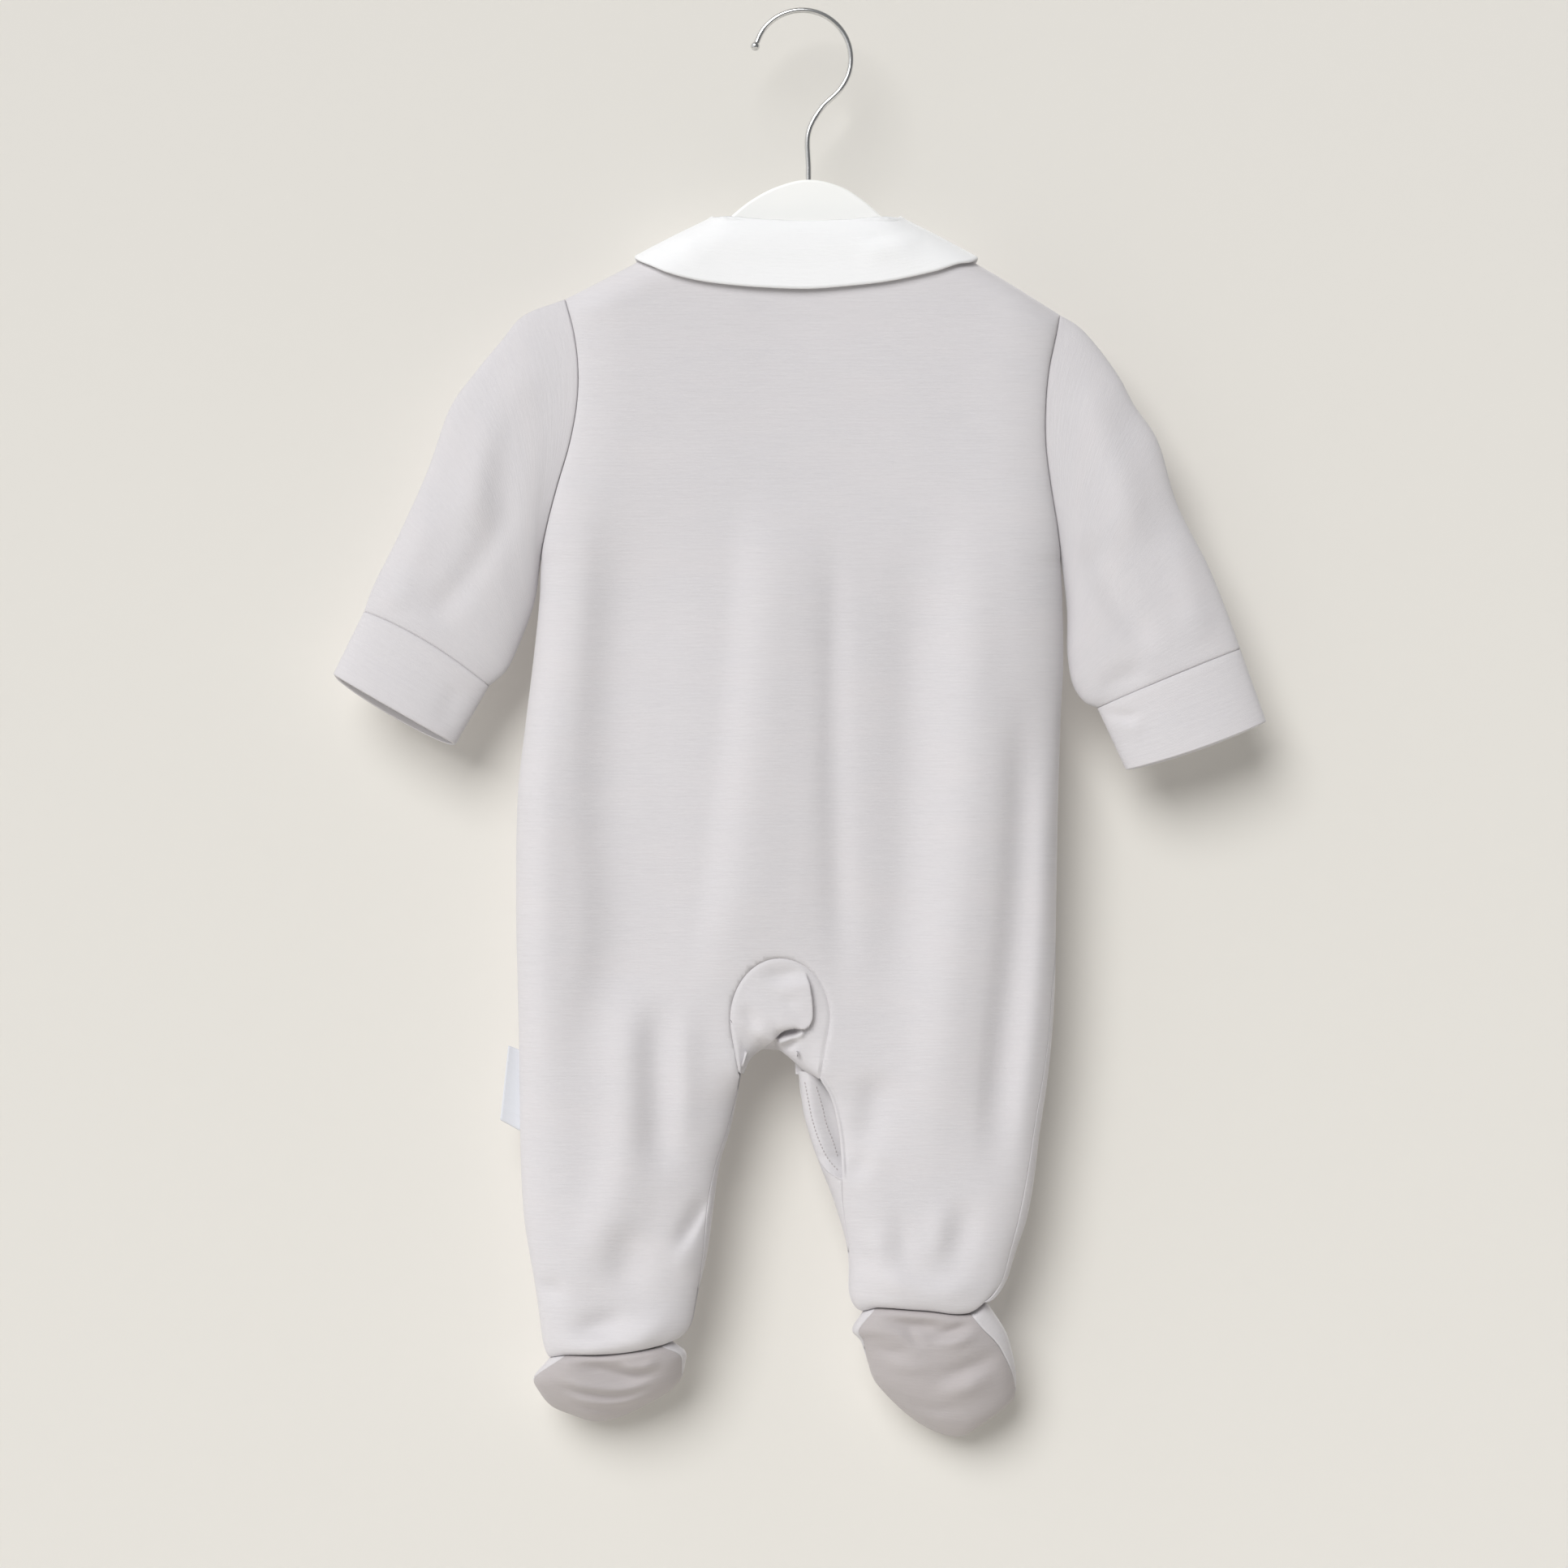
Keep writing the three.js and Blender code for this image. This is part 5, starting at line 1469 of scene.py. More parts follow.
SLEEVES = (
    SleeveCut(
        hand=Hand.LEFT,
        out=1,
        shoulder_z=-127.0,
        outer=(
            (-124.6, -134.6), (-133.9, -145.4), (-145.8, -159.8), (-156.2, -174.2), (-166.7, -203),
            (-179.6, -231.8), (-191.5, -256), (-194.8, -265.3),
        ),
        inner=((-119.2, -261), (-126, -280), (-132, -292), (-139.3, -298.4)),
        seam_arch=3.2,
        hem_outer=(-208.4, -293),
        hem_inner=(-154.1, -324),
        hem_sag=0,
        mouth_drop=4,
        folds=(
            Fold(2.2, 9, ((-118, -150), (-138, -190), (-152, -236))),
            Fold(-1.8, 7, ((-126, -216), (-148, -250), (-168, -272))),
            Fold(2.0, 8, ((-166, -220), (-178, -250), (-180, -268))),
            Fold(-1.6, 8, ((-128, -160), (-134, -200), (-130, -232))),
        ),
        cuff_folds=(Fold(-1.0, 5, ((-150, -298), (-156, -308), (-158, -318))),),
    ),
    SleeveCut(
        hand=Hand.RIGHT,
        out=-1,
        shoulder_z=-134.0,
        outer=(
            (123.1, -140), (139, -159.8), (146.9, -174.2), (156.6, -188.6), (165.6, -217.4),
            (180, -246.2), (190.6, -273), (193.7, -281.9),
        ),
        inner=((116.9, -265), (117.2, -286), (119.9, -299), (124.9, -305.8), (130.3, -308.2)),
        seam_arch=0.5,
        hem_outer=(205.2, -313.9),
        hem_inner=(142.9, -335.5),
        hem_sag=1.5,
        mouth_drop=1,
        folds=(
            Fold(2.2, 9, ((124, -158), (138, -196), (150, -240))),
            Fold(-1.8, 7, ((122, -230), (138, -262), (158, -284))),
            Fold(2.0, 8, ((166, -226), (174, -262), (176, -282))),
            Fold(-1.5, 5, ((128, -304), (140, -296), (154, -290)), fade=0.35),
        ),
        cuff_folds=(
            Fold(-2.2, 2.6, ((128, -309), (138, -311.5), (150, -313)), fade=0.35),
            Fold(1.4, 4, ((132, -315), (142, -317), (152, -318)), fade=0.35),
        ),
    ),
)


@dataclass
class Sleeve:
    """A set-in sleeve and its doubled cuff, both flattened tubes."""

    cut: SleeveCut
    around: int = 128
    sections: int = 84
    cuff_sections: int = 34
    wall: tuple[float, float] = (0.9, 0.15)
    cuff_wall: tuple[float, float] = (1.6, 0.5)
    seam_gap: float = 0.35
    seam_dip: float = 0.3
    seam_reach: float = 1.2
    cuff_proud: float = 0.25
    belly: float = 2.0
    mouth_belly: float = 1.2
    hidden_folds: float = 0.5

    def seam_line(self, across: Array) -> Array:
        """The cuff's seam as flat points."""
        outer, inner = np.array(self.cut.outer[-1]), np.array(self.cut.inner[-1])
        line = mix(outer[None], inner[None], across[:, None])
        line[:, 1] += self.cut.seam_arch * 4 * across * (1 - across)
        return line

    def tube(
        self, flat: Callable[[Array, Array], Array], down: Array, depth: Array, folds: tuple[Fold, ...]
    ) -> tuple[Array, Array]:
        """Opens a flat outline up to an oval tube, its back half first.

        Args:
            flat: Gives flat points for the shares across and whether each is on the front.
            down: The share of each section.
            depth: How far each section stands from the middle plane.
            folds: The folds of the side that shows.

        Returns:
            The tube's points and each one's angle.
        """
        angle = np.linspace(0, 2 * math.pi, self.around, endpoint=False)
        is_front = np.clip(-np.sin(angle), 0, 1)
        points = flat((1 - np.cos(angle)) / 2, is_front)
        x, z = points[..., 0], points[..., 1]
        lift = folds_lift(folds, x, z) + 0.6 * ripple(x, z, 3.0)
        shown = np.where(np.sin(angle) > 0, 1.0, self.hidden_folds)[None]
        y = -(depth[:, None] + lift * np.abs(np.sin(angle))[None] * shown) * np.sin(angle)[None]
        return np.stack([x, y, z], axis=2), angle

    def build_sleeve(self, finishes: Finishes) -> Object:
        """Makes the sleeve from the armhole to the cuff's seam."""
        cut = self.cut
        plain = np.linspace(0.02, 0.98, self.sections)
        down = np.concatenate([[0, 0.006, 0.012], plain, [0.988, 0.994, 1]])
        top_z = (cut.shoulder_z, FORM.underarm_z)
        corner = [(float(cut.armhole_x(np.array(z))), z) for z in top_z]
        fine = np.linspace(0, 1, 400)
        outer = spline([corner[0], *cut.outer], len(fine))
        inner = spline([corner[1], *cut.inner], len(fine))
        start, end = read_line(down, fine, outer), read_line(down, fine, inner)

        def flat(across: Array, _: Array) -> Array:
            """Flat points of the sleeve at shares across it."""
            heights = mix(*top_z, across)
            top = np.stack([cut.armhole_x(heights), heights], axis=1)
            return spanned(top, self.seam_line(across), start, end, down, across)

        depth = FORM.armhole_opening + self.belly * np.sin(math.pi * down)
        points, angle = self.tube(flat, down, depth, cut.folds)
        length = np.linalg.norm(np.diff(start, axis=0), axis=1).sum()
        ends = np.minimum(down, 1 - down) * length
        dip = self.seam_dip * np.exp(-((ends / self.seam_reach) ** 2))
        points[..., 1] *= 1 - dip[:, None] / (depth[:, None] + 1)
        into = np.array([1.0 if cut.hand is Hand.LEFT else -1.0, 0.0, 0.0])
        points = np.concatenate([ALLOWANCE.ring(points[0], into), points])
        weave = Weave(points, out=cut.out, is_around=True)
        name, held_by = f"sleeve_{cut.hand.value}_cloth", ("back_cloth", "front_left_cloth")
        return hang(weave, self.wall, name, "jersey", (finishes.jersey,))

    def build_cuff(self, finishes: Finishes) -> Object:
        """Makes the cuff: a doubled band with an open mouth."""
        cut = self.cut
        hem_turn = np.linspace(0, math.pi / 2, 6)
        plain = np.linspace(0.05, 0.94, self.cuff_sections)
        down = np.concatenate([[0, 0.012, 0.03], plain, 0.94 + 0.06 * np.sin(hem_turn)[1:]])

        def flat(across: Array, is_front: Array) -> Array:
            """Flat points of the cuff at shares across it."""
            seam = self.seam_line(across)
            hem = mix(np.array(cut.hem_outer)[None], np.array(cut.hem_inner)[None], across[:, None])
            hem[:, 1] -= cut.hem_sag * 4 * across * (1 - across)
            run = hem - seam
            seam = seam + run / np.linalg.norm(run, axis=1, keepdims=True) * self.seam_gap
            hem[:, 1] -= cut.mouth_drop * is_front
            return mix(seam[None], hem[None], down[:, None, None])

        depth = FORM.armhole_opening + self.cuff_proud + self.mouth_belly * down
        points, _ = self.tube(flat, down, depth, cut.cuff_folds)
        dip = self.seam_dip * np.exp(-((down * 30 / self.seam_reach) ** 2))
        points[..., 1] *= 1 - dip[:, None] / depth[:, None]
        into = points[0].mean(axis=0) - points[-1].mean(axis=0)
        into[1] = 0
        points = np.concatenate([ALLOWANCE.ring(points[0], into / np.linalg.norm(into)), points])
        weave = Weave(points, out=cut.out, is_around=True)
        name, held_by = f"cuff_{cut.hand.value}_band", (f"sleeve_{cut.hand.value}_cloth",)
        return hang(weave, self.cuff_wall, name, "jersey", (finishes.jersey,))

    def build(self, finishes: Finishes) -> None:
        """Makes the sleeve and its cuff."""
        self.build_sleeve(finishes)
        self.build_cuff(finishes)


COLLAR_HEM = SizeTable(
    ("x", "z"),
    (
        (-76, -110.0), (-72, -110.7), (-59.8, -116.3), (-46.1, -119.9), (-29.9, -122.0),
        (-14, -123.1), (2.2, -123.5), (20.5, -122.2), (38.9, -119.9), (58.3, -115.6),
        (68.8, -111.8), (77.5, -109.6),
    ),
)


@dataclass
class Collar:
    """The round white collar: it falls from its roll over the shoulders, with its stand inside the neck."""

    thickness: float = 1.5
    lip: float = 0.45
    roll_half_width: float = 41.5
    hem_half_width: float = 76
    lift: float = 3.4
    front_lift: float = 1.5
    seam_gap: float = 0.6
    hem_back_drop: float = 37.9
    hem_front_drop: float = 68
    hem_shape: float = 1.7
    hem_blend: float = 30
    roll_back_drop: float = 8
    roll_front_drop: float = 35
    front_end: float = 172
    columns: int = 260
    profile: int = 44
    falls: tuple[float, ...] = (0, 0.3, 0.6, 0.82, 0.93)
    creases: tuple[Fold, ...] = (
        Fold(-1.1, 5, ((49, -91), (38, -96), (24, -101)), fade=0.35),
        Fold(0.9, 6, ((54, -99), (40, -105), (22, -108)), fade=0.35),
        Fold(0.8, 7, ((-40, -92), (-48, -100), (-56, -108)), fade=0.35),
    )

    def panel_top(self, side: Side, x: float, z: float, lift: float) -> float:
        """A panel's surface by the neck, without folds, raised for the collar that lies on it."""
        top = quarter_round(shoulder_line(x) + lift - z, FORM.shoulder_reach + lift)
        return float(side.value * (SEAM / 2 + (FORM.fullness(side, z) + lift - SEAM / 2) * top))

    def column(self, degrees: float, rims: dict[Side, Array]) -> Array:
        """The collar's section at one turn round the neck, from the hem over the roll to the neck's seam.

        Args:
            degrees: The turn from the middle of the back.
            rims: The upper edges of the two panels.

        Returns:
            Evenly spaced points along the section.
        """
        turn = math.radians(degrees)
        is_back = abs(degrees) <= 90
        side = Side.BACK if is_back else Side.FRONT
        facing = abs(math.cos(turn))
        lift = self.lift + (0 if is_back else self.front_lift * facing)
        roll_x = FORM.neck_x + self.roll_half_width * math.sin(turn)
        hem_x = FORM.neck_x + self.hem_half_width * math.sin(turn)
        roll_drop = (self.roll_back_drop if is_back else self.roll_front_drop) * facing
        hem_drop = (self.hem_back_drop if is_back else self.hem_front_drop) * facing**self.hem_shape
        if is_back:
            drawn = float(shoulder_line(hem_x)) + lift - float(COLLAR_HEM.read("z", hem_x))
            hem_drop = mix(hem_drop, drawn, float(smooth_step((90 - abs(degrees)) / self.hem_blend)))

        def fall(up: float) -> Array:
            """A point on the outer face, by its share up from the hem."""
            x = mix(hem_x, roll_x, up)
            z = float(shoulder_line(x)) + lift - mix(hem_drop, roll_drop, up)
            return np.array([x, self.panel_top(side, x, z, lift), z])

        rim = rims[side]
        seam_x = FORM.neck_x + FORM.neck_half_width * math.sin(turn)
        seam = np.array([seam_x, *(np.interp(seam_x, rim[:, 0], rim[:, k]) for k in (1, 2))])
        inward = np.array([math.sin(turn), side.value * facing])
        inward *= self.thickness / np.linalg.norm(inward)
        foot = np.array([seam[0] - inward[0], seam[1] - inward[1], seam[2] + self.seam_gap])
        line = [fall(up) for up in self.falls]
        under, roll = line[-1], fall(1)
        head = np.array([roll[0], mix(under[1], foot[1], 0.45), roll[2]])
        neck_x = mix(roll[0], foot[0], 0.15) - 0.8 * math.sin(turn)
        neck = np.array([neck_x, mix(under[1], foot[1], 0.95), mix(roll[2], foot[2], 0.25)])
        return spline([*line, head, neck, mix(neck, foot, 0.5), foot], self.profile)

    def build(self, finishes: Finishes) -> Object:
        """Makes the collar.

        Args:
            finishes: The suit's finishes.

        Returns:
            The piece.
        """
        x = np.linspace(FORM.left_shoulder[0], FORM.right_shoulder[0], 900)
        rims = {}
        for side in Side:
            z = FORM.top_edge(side, x)
            rims[side] = np.stack([x, FORM.torso(side, x, z), z], axis=1)
        turns = np.linspace(-self.front_end, self.front_end, self.columns)
        points = np.stack([self.column(float(turn), rims) for turn in turns], axis=1)
        is_outer = smooth_step((np.arange(self.profile)[::-1] - 18) / 8)[:, None]
        lift = folds_lift(self.creases, points[..., 0], points[..., 2]) * is_outer
        points[..., 1] -= lift * (points[..., 1] < 0)
        weave = Weave(points, out=-1)
        wall, rests_on = (self.thickness, self.lip), ("back_cloth", "front_left_cloth")
        return hang(weave, wall, "collar_cloth", "white_knit", (finishes.collar,))


@dataclass
class FootCut:
    """One foot's flat outline in x and z, from the ankle down to the toe."""

    hand: Hand
    left: Points
    right: Points
    toe: Points
    sole_folds: tuple[Fold, ...]
    upper_folds: tuple[Fold, ...]


FEET = (
    FootCut(
        hand=Hand.LEFT,
        left=((-119.9, -606.2), (-117.7, -612.4), (-112.7, -619.6), (-104.8, -624.6)),
        right=((-52.2, -594.4), (-52.6, -599.8), (-54.4, -606.6), (-59.4, -613.1), (-65.2, -617)),
        toe=((-104.8, -624.6), (-93.2, -627.8), (-84.2, -626.4), (-75.2, -622.8), (-65.2, -617)),
        sole_folds=(
            Fold(-3.4, 3.6, ((-106, -597.5), (-90, -600.5), (-76, -603.5), (-60, -600)), fade=0.35),
            Fold(2.2, 2.6, ((-82, -598), (-73, -600), (-62, -596.5)), fade=0.4),
            Fold(2.0, 2.6, ((-112, -603), (-96, -608.5), (-78, -610), (-60, -604)), fade=0.35),
            Fold(-1.8, 2.2, ((-112, -607), (-96, -612), (-80, -613), (-62, -606.5)), fade=0.35),
            Fold(1.6, 2.4, ((-108, -611), (-94, -616), (-78, -616), (-62, -610)), fade=0.35),
            Fold(-1.4, 2.1, ((-106, -614.5), (-94, -619.5), (-80, -619.5), (-66, -613.5)), fade=0.35),
            Fold(1.0, 2.2, ((-104, -619), (-92, -623), (-80, -622)), fade=0.4),
        ),
        upper_folds=(
            Fold(-1.6, 3.5, ((-108, -599), (-86, -603), (-64, -599)), fade=0.3),
            Fold(1.2, 4, ((-104, -608), (-86, -613), (-68, -608)), fade=0.3),
        ),
    ),
    FootCut(
        hand=Hand.RIGHT,
        left=(
            (21.6, -584.6), (25.2, -589), (28.4, -598.3), (31.3, -607), (36.7, -614.2),
            (45.4, -623.2), (51.8, -628.6),
        ),
        right=((90, -585.4), (92.5, -593.3), (94.7, -604.4), (94.3, -615.6), (90, -620.6), (83.2, -623.5)),
        toe=((51.8, -628.6), (60.5, -632.9), (69.1, -634.7), (73.4, -633.6), (83.2, -623.5)),
        sole_folds=(
            Fold(-3.6, 3.2, ((32, -577), (44, -580.5), (56, -581.5), (68, -580)), fade=0.45),
            Fold(-3.0, 2.8, ((50, -586), (63, -584.5), (78, -578.5)), fade=0.5),
            Fold(1.8, 3.0, ((56, -589), (68, -588), (80, -583)), fade=0.5),
            Fold(-2.6, 4.5, ((54, -606), (70, -602), (84, -595), (91, -588)), fade=0.45),
            Fold(2.6, 5, ((56, -613), (72, -609), (86, -602)), fade=0.45),
            Fold(-1.2, 2.6, ((44, -581), (48, -586), (54, -591)), fade=0.45),
            Fold(-1.4, 2.8, ((28, -590), (38, -593), (50, -592)), fade=0.45),
            Fold(1.0, 3.0, ((32, -597), (46, -600), (60, -599)), fade=0.45),
            Fold(-1.0, 3.0, ((42, -614), (56, -620), (74, -619)), fade=0.45),
        ),
        upper_folds=(
            Fold(-1.6, 3.5, ((34, -583), (56, -587), (78, -583)), fade=0.3),
            Fold(1.2, 4.5, ((40, -602), (60, -606), (80, -600)), fade=0.3),
        ),
    ),
)
WRAPS = SizeTable(
    ("down", "left_left", "left_right", "right_left", "right_right"),
    (
        (0, 0.13, 0.09, 0.1, 0.13), (0.12, 0.07, 0.06, 0.06, 0.11),
        (0.25, 0.02, 0.035, 0.02, 0.085), (0.4, 0.0, 0.02, 0.0, 0.055), (0.6, 0.0, 0.0, 0.0, 0.02),
        (0.75, 0.0, 0.0, 0.0, 0.0), (1, 0.0, 0.0, 0.0, 0.0),
    ),
)
FOOT_FULLNESS = SizeTable(
    ("down", "back", "front"),
    ((0, 12, 12), (0.3, 12.5, 19), (0.6, 12, 20), (1, 11, 15)),
)


@dataclass
class Foot:
    """A foot's sole, which looks back and down, and its upper."""

    cut: FootCut
    rows: int = 70
    columns: int = 84
    toe_y: float = 22
    toe_reach: float = 18
    wall: tuple[float, float] = (0.9, 0.14)
    heel_curl: float = 0.36
    heel_reach: float = 4.0
    wrap_columns: int = 6

    def points(self, side: Side) -> Array:
        """The outer surface of the sole or the upper."""
        hand = self.cut.hand
        is_left = hand is Hand.LEFT
        heel_rows = np.linspace(0, 0.06, 6)[:-1]
        plain = np.linspace(0.06, 0.9, self.rows - 16)[:-1]
        toe_rows = 0.9 + 0.1 * np.sin(np.linspace(0, math.pi / 2, 12))
        down = np.concatenate([heel_rows, plain, toe_rows])
        across = (1 - np.cos(np.linspace(0, math.pi, self.columns))) / 2
        outer_z = ANKLE.rows[0][1 if is_left else 2]
        outer = float(left_edge(outer_z) if is_left else right_edge(outer_z))
        last_z = ANKLE.rows[-1][1 if is_left else 2]
        inner = float(INSEAM.read(f"back_{hand.value}", last_z))
        share = across if is_left else 1 - across
        corners = HEM_CORNERS[hand]
        pull = 1 if is_left else -1
        outer, inner = outer + pull * corners[0], inner - pull * corners[1]
        top = np.stack([mix(outer, inner, share), ANKLE.read(hand.value, share) - 1.2 * SEAM], axis=1)
        start = spline([top[0], *self.cut.left], 300)
        end = spline([top[-1], *self.cut.right], 300)
        fine = np.linspace(0, 1, 300)
        start, end = read_line(down, fine, start), read_line(down, fine, end)
        toe = read_line(across, fine, spline(self.cut.toe, 300))
        flat = spanned(top, toe, start, end, down, across)
        x, z = flat[..., 0], flat[..., 1]
        width = np.linalg.norm(end - start, axis=1)[:, None]
        near, far = (quarter_round(width * side, FORM.leg_reach) for side in (across, 1 - across))
        sides = near * far
        length = np.linalg.norm(np.diff(start, axis=0), axis=1).sum()
        toe_end = quarter_round(length * (1 - down), self.toe_reach)[:, None]
        full = FOOT_FULLNESS.read(side.name.lower(), down)[:, None]
        folds = self.cut.sole_folds if side is Side.BACK else self.cut.upper_folds
        lift = folds_lift(folds, x, z) + 0.6 * ripple(2 * x, 2 * z, 5.0)
        heel = mix(1 - self.heel_curl, 1.0, quarter_round(length * down, self.heel_reach))[:, None]
        depth = (SEAM / 2 + (full + lift) * sides * toe_end) * heel
        y = side.value * depth + self.toe_y * down[:, None] ** 1.5
        points = np.stack([x, y, z], axis=2)
        return np.concatenate([ALLOWANCE.ring(points[0], np.array([0.0, 0.0, 1.0])), points])

    def seamed(self, side: Side) -> tuple[Array, Array]:
        """Moves the seam between the two cloths inwards on the back, where the upper shows beside the sole.

        Args:
            side: The sole's side or the upper's.

        Returns:
            The piece's grid and which of its cells hold cloth.
        """
        back = self.points(Side.BACK)
        rows = len(back)
        down = np.clip(np.linspace(-len(ALLOWANCE.steps) / rows, 1, rows), 0, 1)
        names = (f"{self.cut.hand.value}_{end}" for end in ("left", "right"))
        left, right = (WRAPS.read(name, down)[:, None] for name in names)
        across = np.linspace(0, 1, self.columns)
        place = (1 - np.cos(np.pi * across)) / 2

        def along(shares: Array) -> Array:
            """Points of the back at shares across each row."""
            return np.stack([read_line(share, place, row) for share, row in zip(shares, back)])

        if side is Side.BACK:
            cells = np.ones((rows - 1, self.columns - 1), bool)
            return along(left + place[None] * (1 - left - right)), cells
        gap = 0.005
        step = np.linspace(0, 1, self.wrap_columns + 1)[None]
        low = along(np.maximum(left - gap, 0) * step[:, :0:-1])
        high = along(1 - np.maximum(right - gap, 0) * step[:, 1:])
        front = self.points(side)
        kept = [np.tile(wrap[1:] > 2 * gap, (1, self.wrap_columns)) for wrap in (left, right)]
        cells = np.concatenate([kept[0], np.ones((rows - 1, self.columns - 1), bool), kept[1]], axis=1)
        return np.concatenate([low, front, high], axis=1), cells

    def build(self, finishes: Finishes) -> None:
        """Makes the sole and the upper."""
        # The sole takes the darker jersey, whose tone is painted shade for its downward-facing side.
        for side, name, material, slot in (
            (Side.BACK, "sole", finishes.sole, "sole_jersey"),
            (Side.FRONT, "upper", finishes.jersey, "jersey"),
        ):
            points, cells = self.seamed(side)
            weave = Weave(points, out=-side.value, cells=cells)
            full_name = f"{name}_{self.cut.hand.value}_cloth"
            surface = tidy(weave.shell())
            hang(weave, self.wall, full_name, slot, (material,), surface)


@dataclass
class LegPlacket:
    """The facing of the right leg's inside opening, which gapes like a leaf, with two rows of stitches."""

    top_z: float = -469.5
    bottom_z: float = -516.4
    join_z: float = -506
    join_slope: float = 0.86
    join_ease: float = 1.9
    under: float = 2.2
    rise: float = 4.4
    rise_reach: float = 5.0
    sink: float = 0.5
    foot_fade: float = 12
    rows: int = 80
    columns: int = 36
    wall: tuple[float, float] = (0.9, 0.3)
    stitching: Stitching = Stitching(pitch=1.65, length=1.1, radius=0.26, rise=0.16)
    outer_row: Points = (
        (0.4, -473), (1.8, -480.2), (4.0, -491), (7.6, -501.5), (11.5, -508.7), (16.2, -513.7),
    )
    inner_row: Points = (
        (5.4, -475.0), (8.3, -484.9), (10.1, -492.5), (13.0, -500), (15.1, -506.9),
    )

    def surface(self, x: Array, z: Array) -> Array:
        """Points on the facing: up from its free edge, then sinking under the back's edge."""
        left = LEAF.read("left", z)
        below = np.maximum(self.join_z - z, 0)
        base = -1.0 - self.join_slope * below**2 / (below + self.join_ease)
        reach = x - left
        bulge = quarter_round(reach, self.rise_reach) * (1 - self.sink * smooth_step((reach - 4) / 9))
        foot = smooth_step((z - self.bottom_z) / self.foot_fade)
        y = base - 0.2 - self.rise * bulge * foot + 0.9 * smooth_step(reach / 6) * (1 - foot)
        return np.stack([x, y, z], axis=-1)

    def build(self, finishes: Finishes) -> Object:
        """Makes the facing and its stitches.

        Args:
            finishes: The suit's finishes.

        Returns:
            The facing.
        """
        z = np.tile(np.linspace(self.top_z, self.bottom_z, self.rows)[:, None], (1, self.columns))
        share = np.linspace(0, 1, self.columns)[None] ** 1.4
        x = mix(LEAF.read("left", z), INSEAM.read("back_right", z) + self.under, share)
        weave = Weave(self.surface(x, z))
        away = np.array([0.0, -1.0, 0.0])
        rows = []
        for knots in (self.outer_row, self.inner_row):
            line = spline(knots, 16)
            rows.append(self.stitching.row(self.surface(line[:, 0], line[:, 1]), away))
        name, made_of = "leg_placket_facing", (finishes.jersey, finishes.thread)
        return hang(weave, self.wall, name, "jersey", made_of, stitches=joined(rows))


@dataclass
class FrontPlacket:
    """The strip down the front opening, topstitched along both edges, with its press studs."""

    width: float = 16
    top_z: float = -134
    bottom_z: float = -440
    gap: float = 0.5
    thickness: float = 1.2
    lip: float = 0.4
    rows: int = 120
    columns: int = 14
    stitch_inset: float = 2.0
    count: int = 7
    first_z: float = -168
    pitch: float = 44
    profile: Points = (
        (0.01, 0.85), (1.6, 0.75), (2.3, 0.45), (2.8, 0.75), (3.6, 1.35), (4.2, 1.1), (4.6, 0.5),
        (4.6, -0.1), (0.01, -0.1),
    )

    def face_y(self, x: Array, z: Array) -> Array:
        """The strip's outer face."""
        return FORM.torso(Side.FRONT, x, z) + self.gap + self.thickness

    def build(self, finishes: Finishes) -> Object:
        """Makes the strip, its stitches and the studs.

        Args:
            finishes: The suit's finishes.

        Returns:
            The strip.
        """
        x, z = np.meshgrid(
            FORM.neck_x + np.linspace(-0.5, 0.5, self.columns) * self.width,
            np.linspace(self.top_z, self.bottom_z, self.rows),
        )
        weave = Weave(np.stack([x, self.face_y(x, z), z], axis=2), out=-1)
        stitching = Stitching()
        rows = []
        for hand in (-1, 1):
            run = np.linspace(self.top_z - 2, self.bottom_z + 2, 90)
            line_x = np.full(90, FORM.neck_x + hand * (self.width / 2 - self.stitch_inset))
            line = np.stack([line_x, self.face_y(line_x, run), run], axis=1)
            rows.append(stitching.row(line, np.array([0.0, 1.0, 0.0])))
        wall, made_of = (self.thickness, self.lip), (finishes.jersey, finishes.thread)
        name = "front_placket_strip"
        piece = hang(weave, wall, name, "jersey", made_of, stitches=joined(rows))
        for number in range(1, self.count + 1):
            self.stud(number, finishes)
        return piece

    def stud(self, number: int, finishes: Finishes) -> Object:
        """Makes one press stud's cap: a ring round a shallow dish."""
        z = self.first_z - self.pitch * (number - 1)
        y = float(self.face_y(np.array(FORM.neck_x), np.array(z))) + 0.2
        outline = spline(self.profile, 40)
        angle = np.linspace(0, 2 * math.pi, 40, endpoint=False)
        radius, height = outline[:, :1], outline[:, 1:]
        points = np.stack(
            [
                FORM.neck_x + radius * np.cos(angle)[None],
                y + np.tile(height, (1, len(angle))),
                z + radius * np.sin(angle)[None],
            ],
            axis=2,
        )
        shell = Weave(points, out=1, is_around=True).shell()
        cap = shell.to_object(f"snap_{number}_cap", finishes.snap)
        return dressed(cap, "snap_plastic", f"snap_{number}")


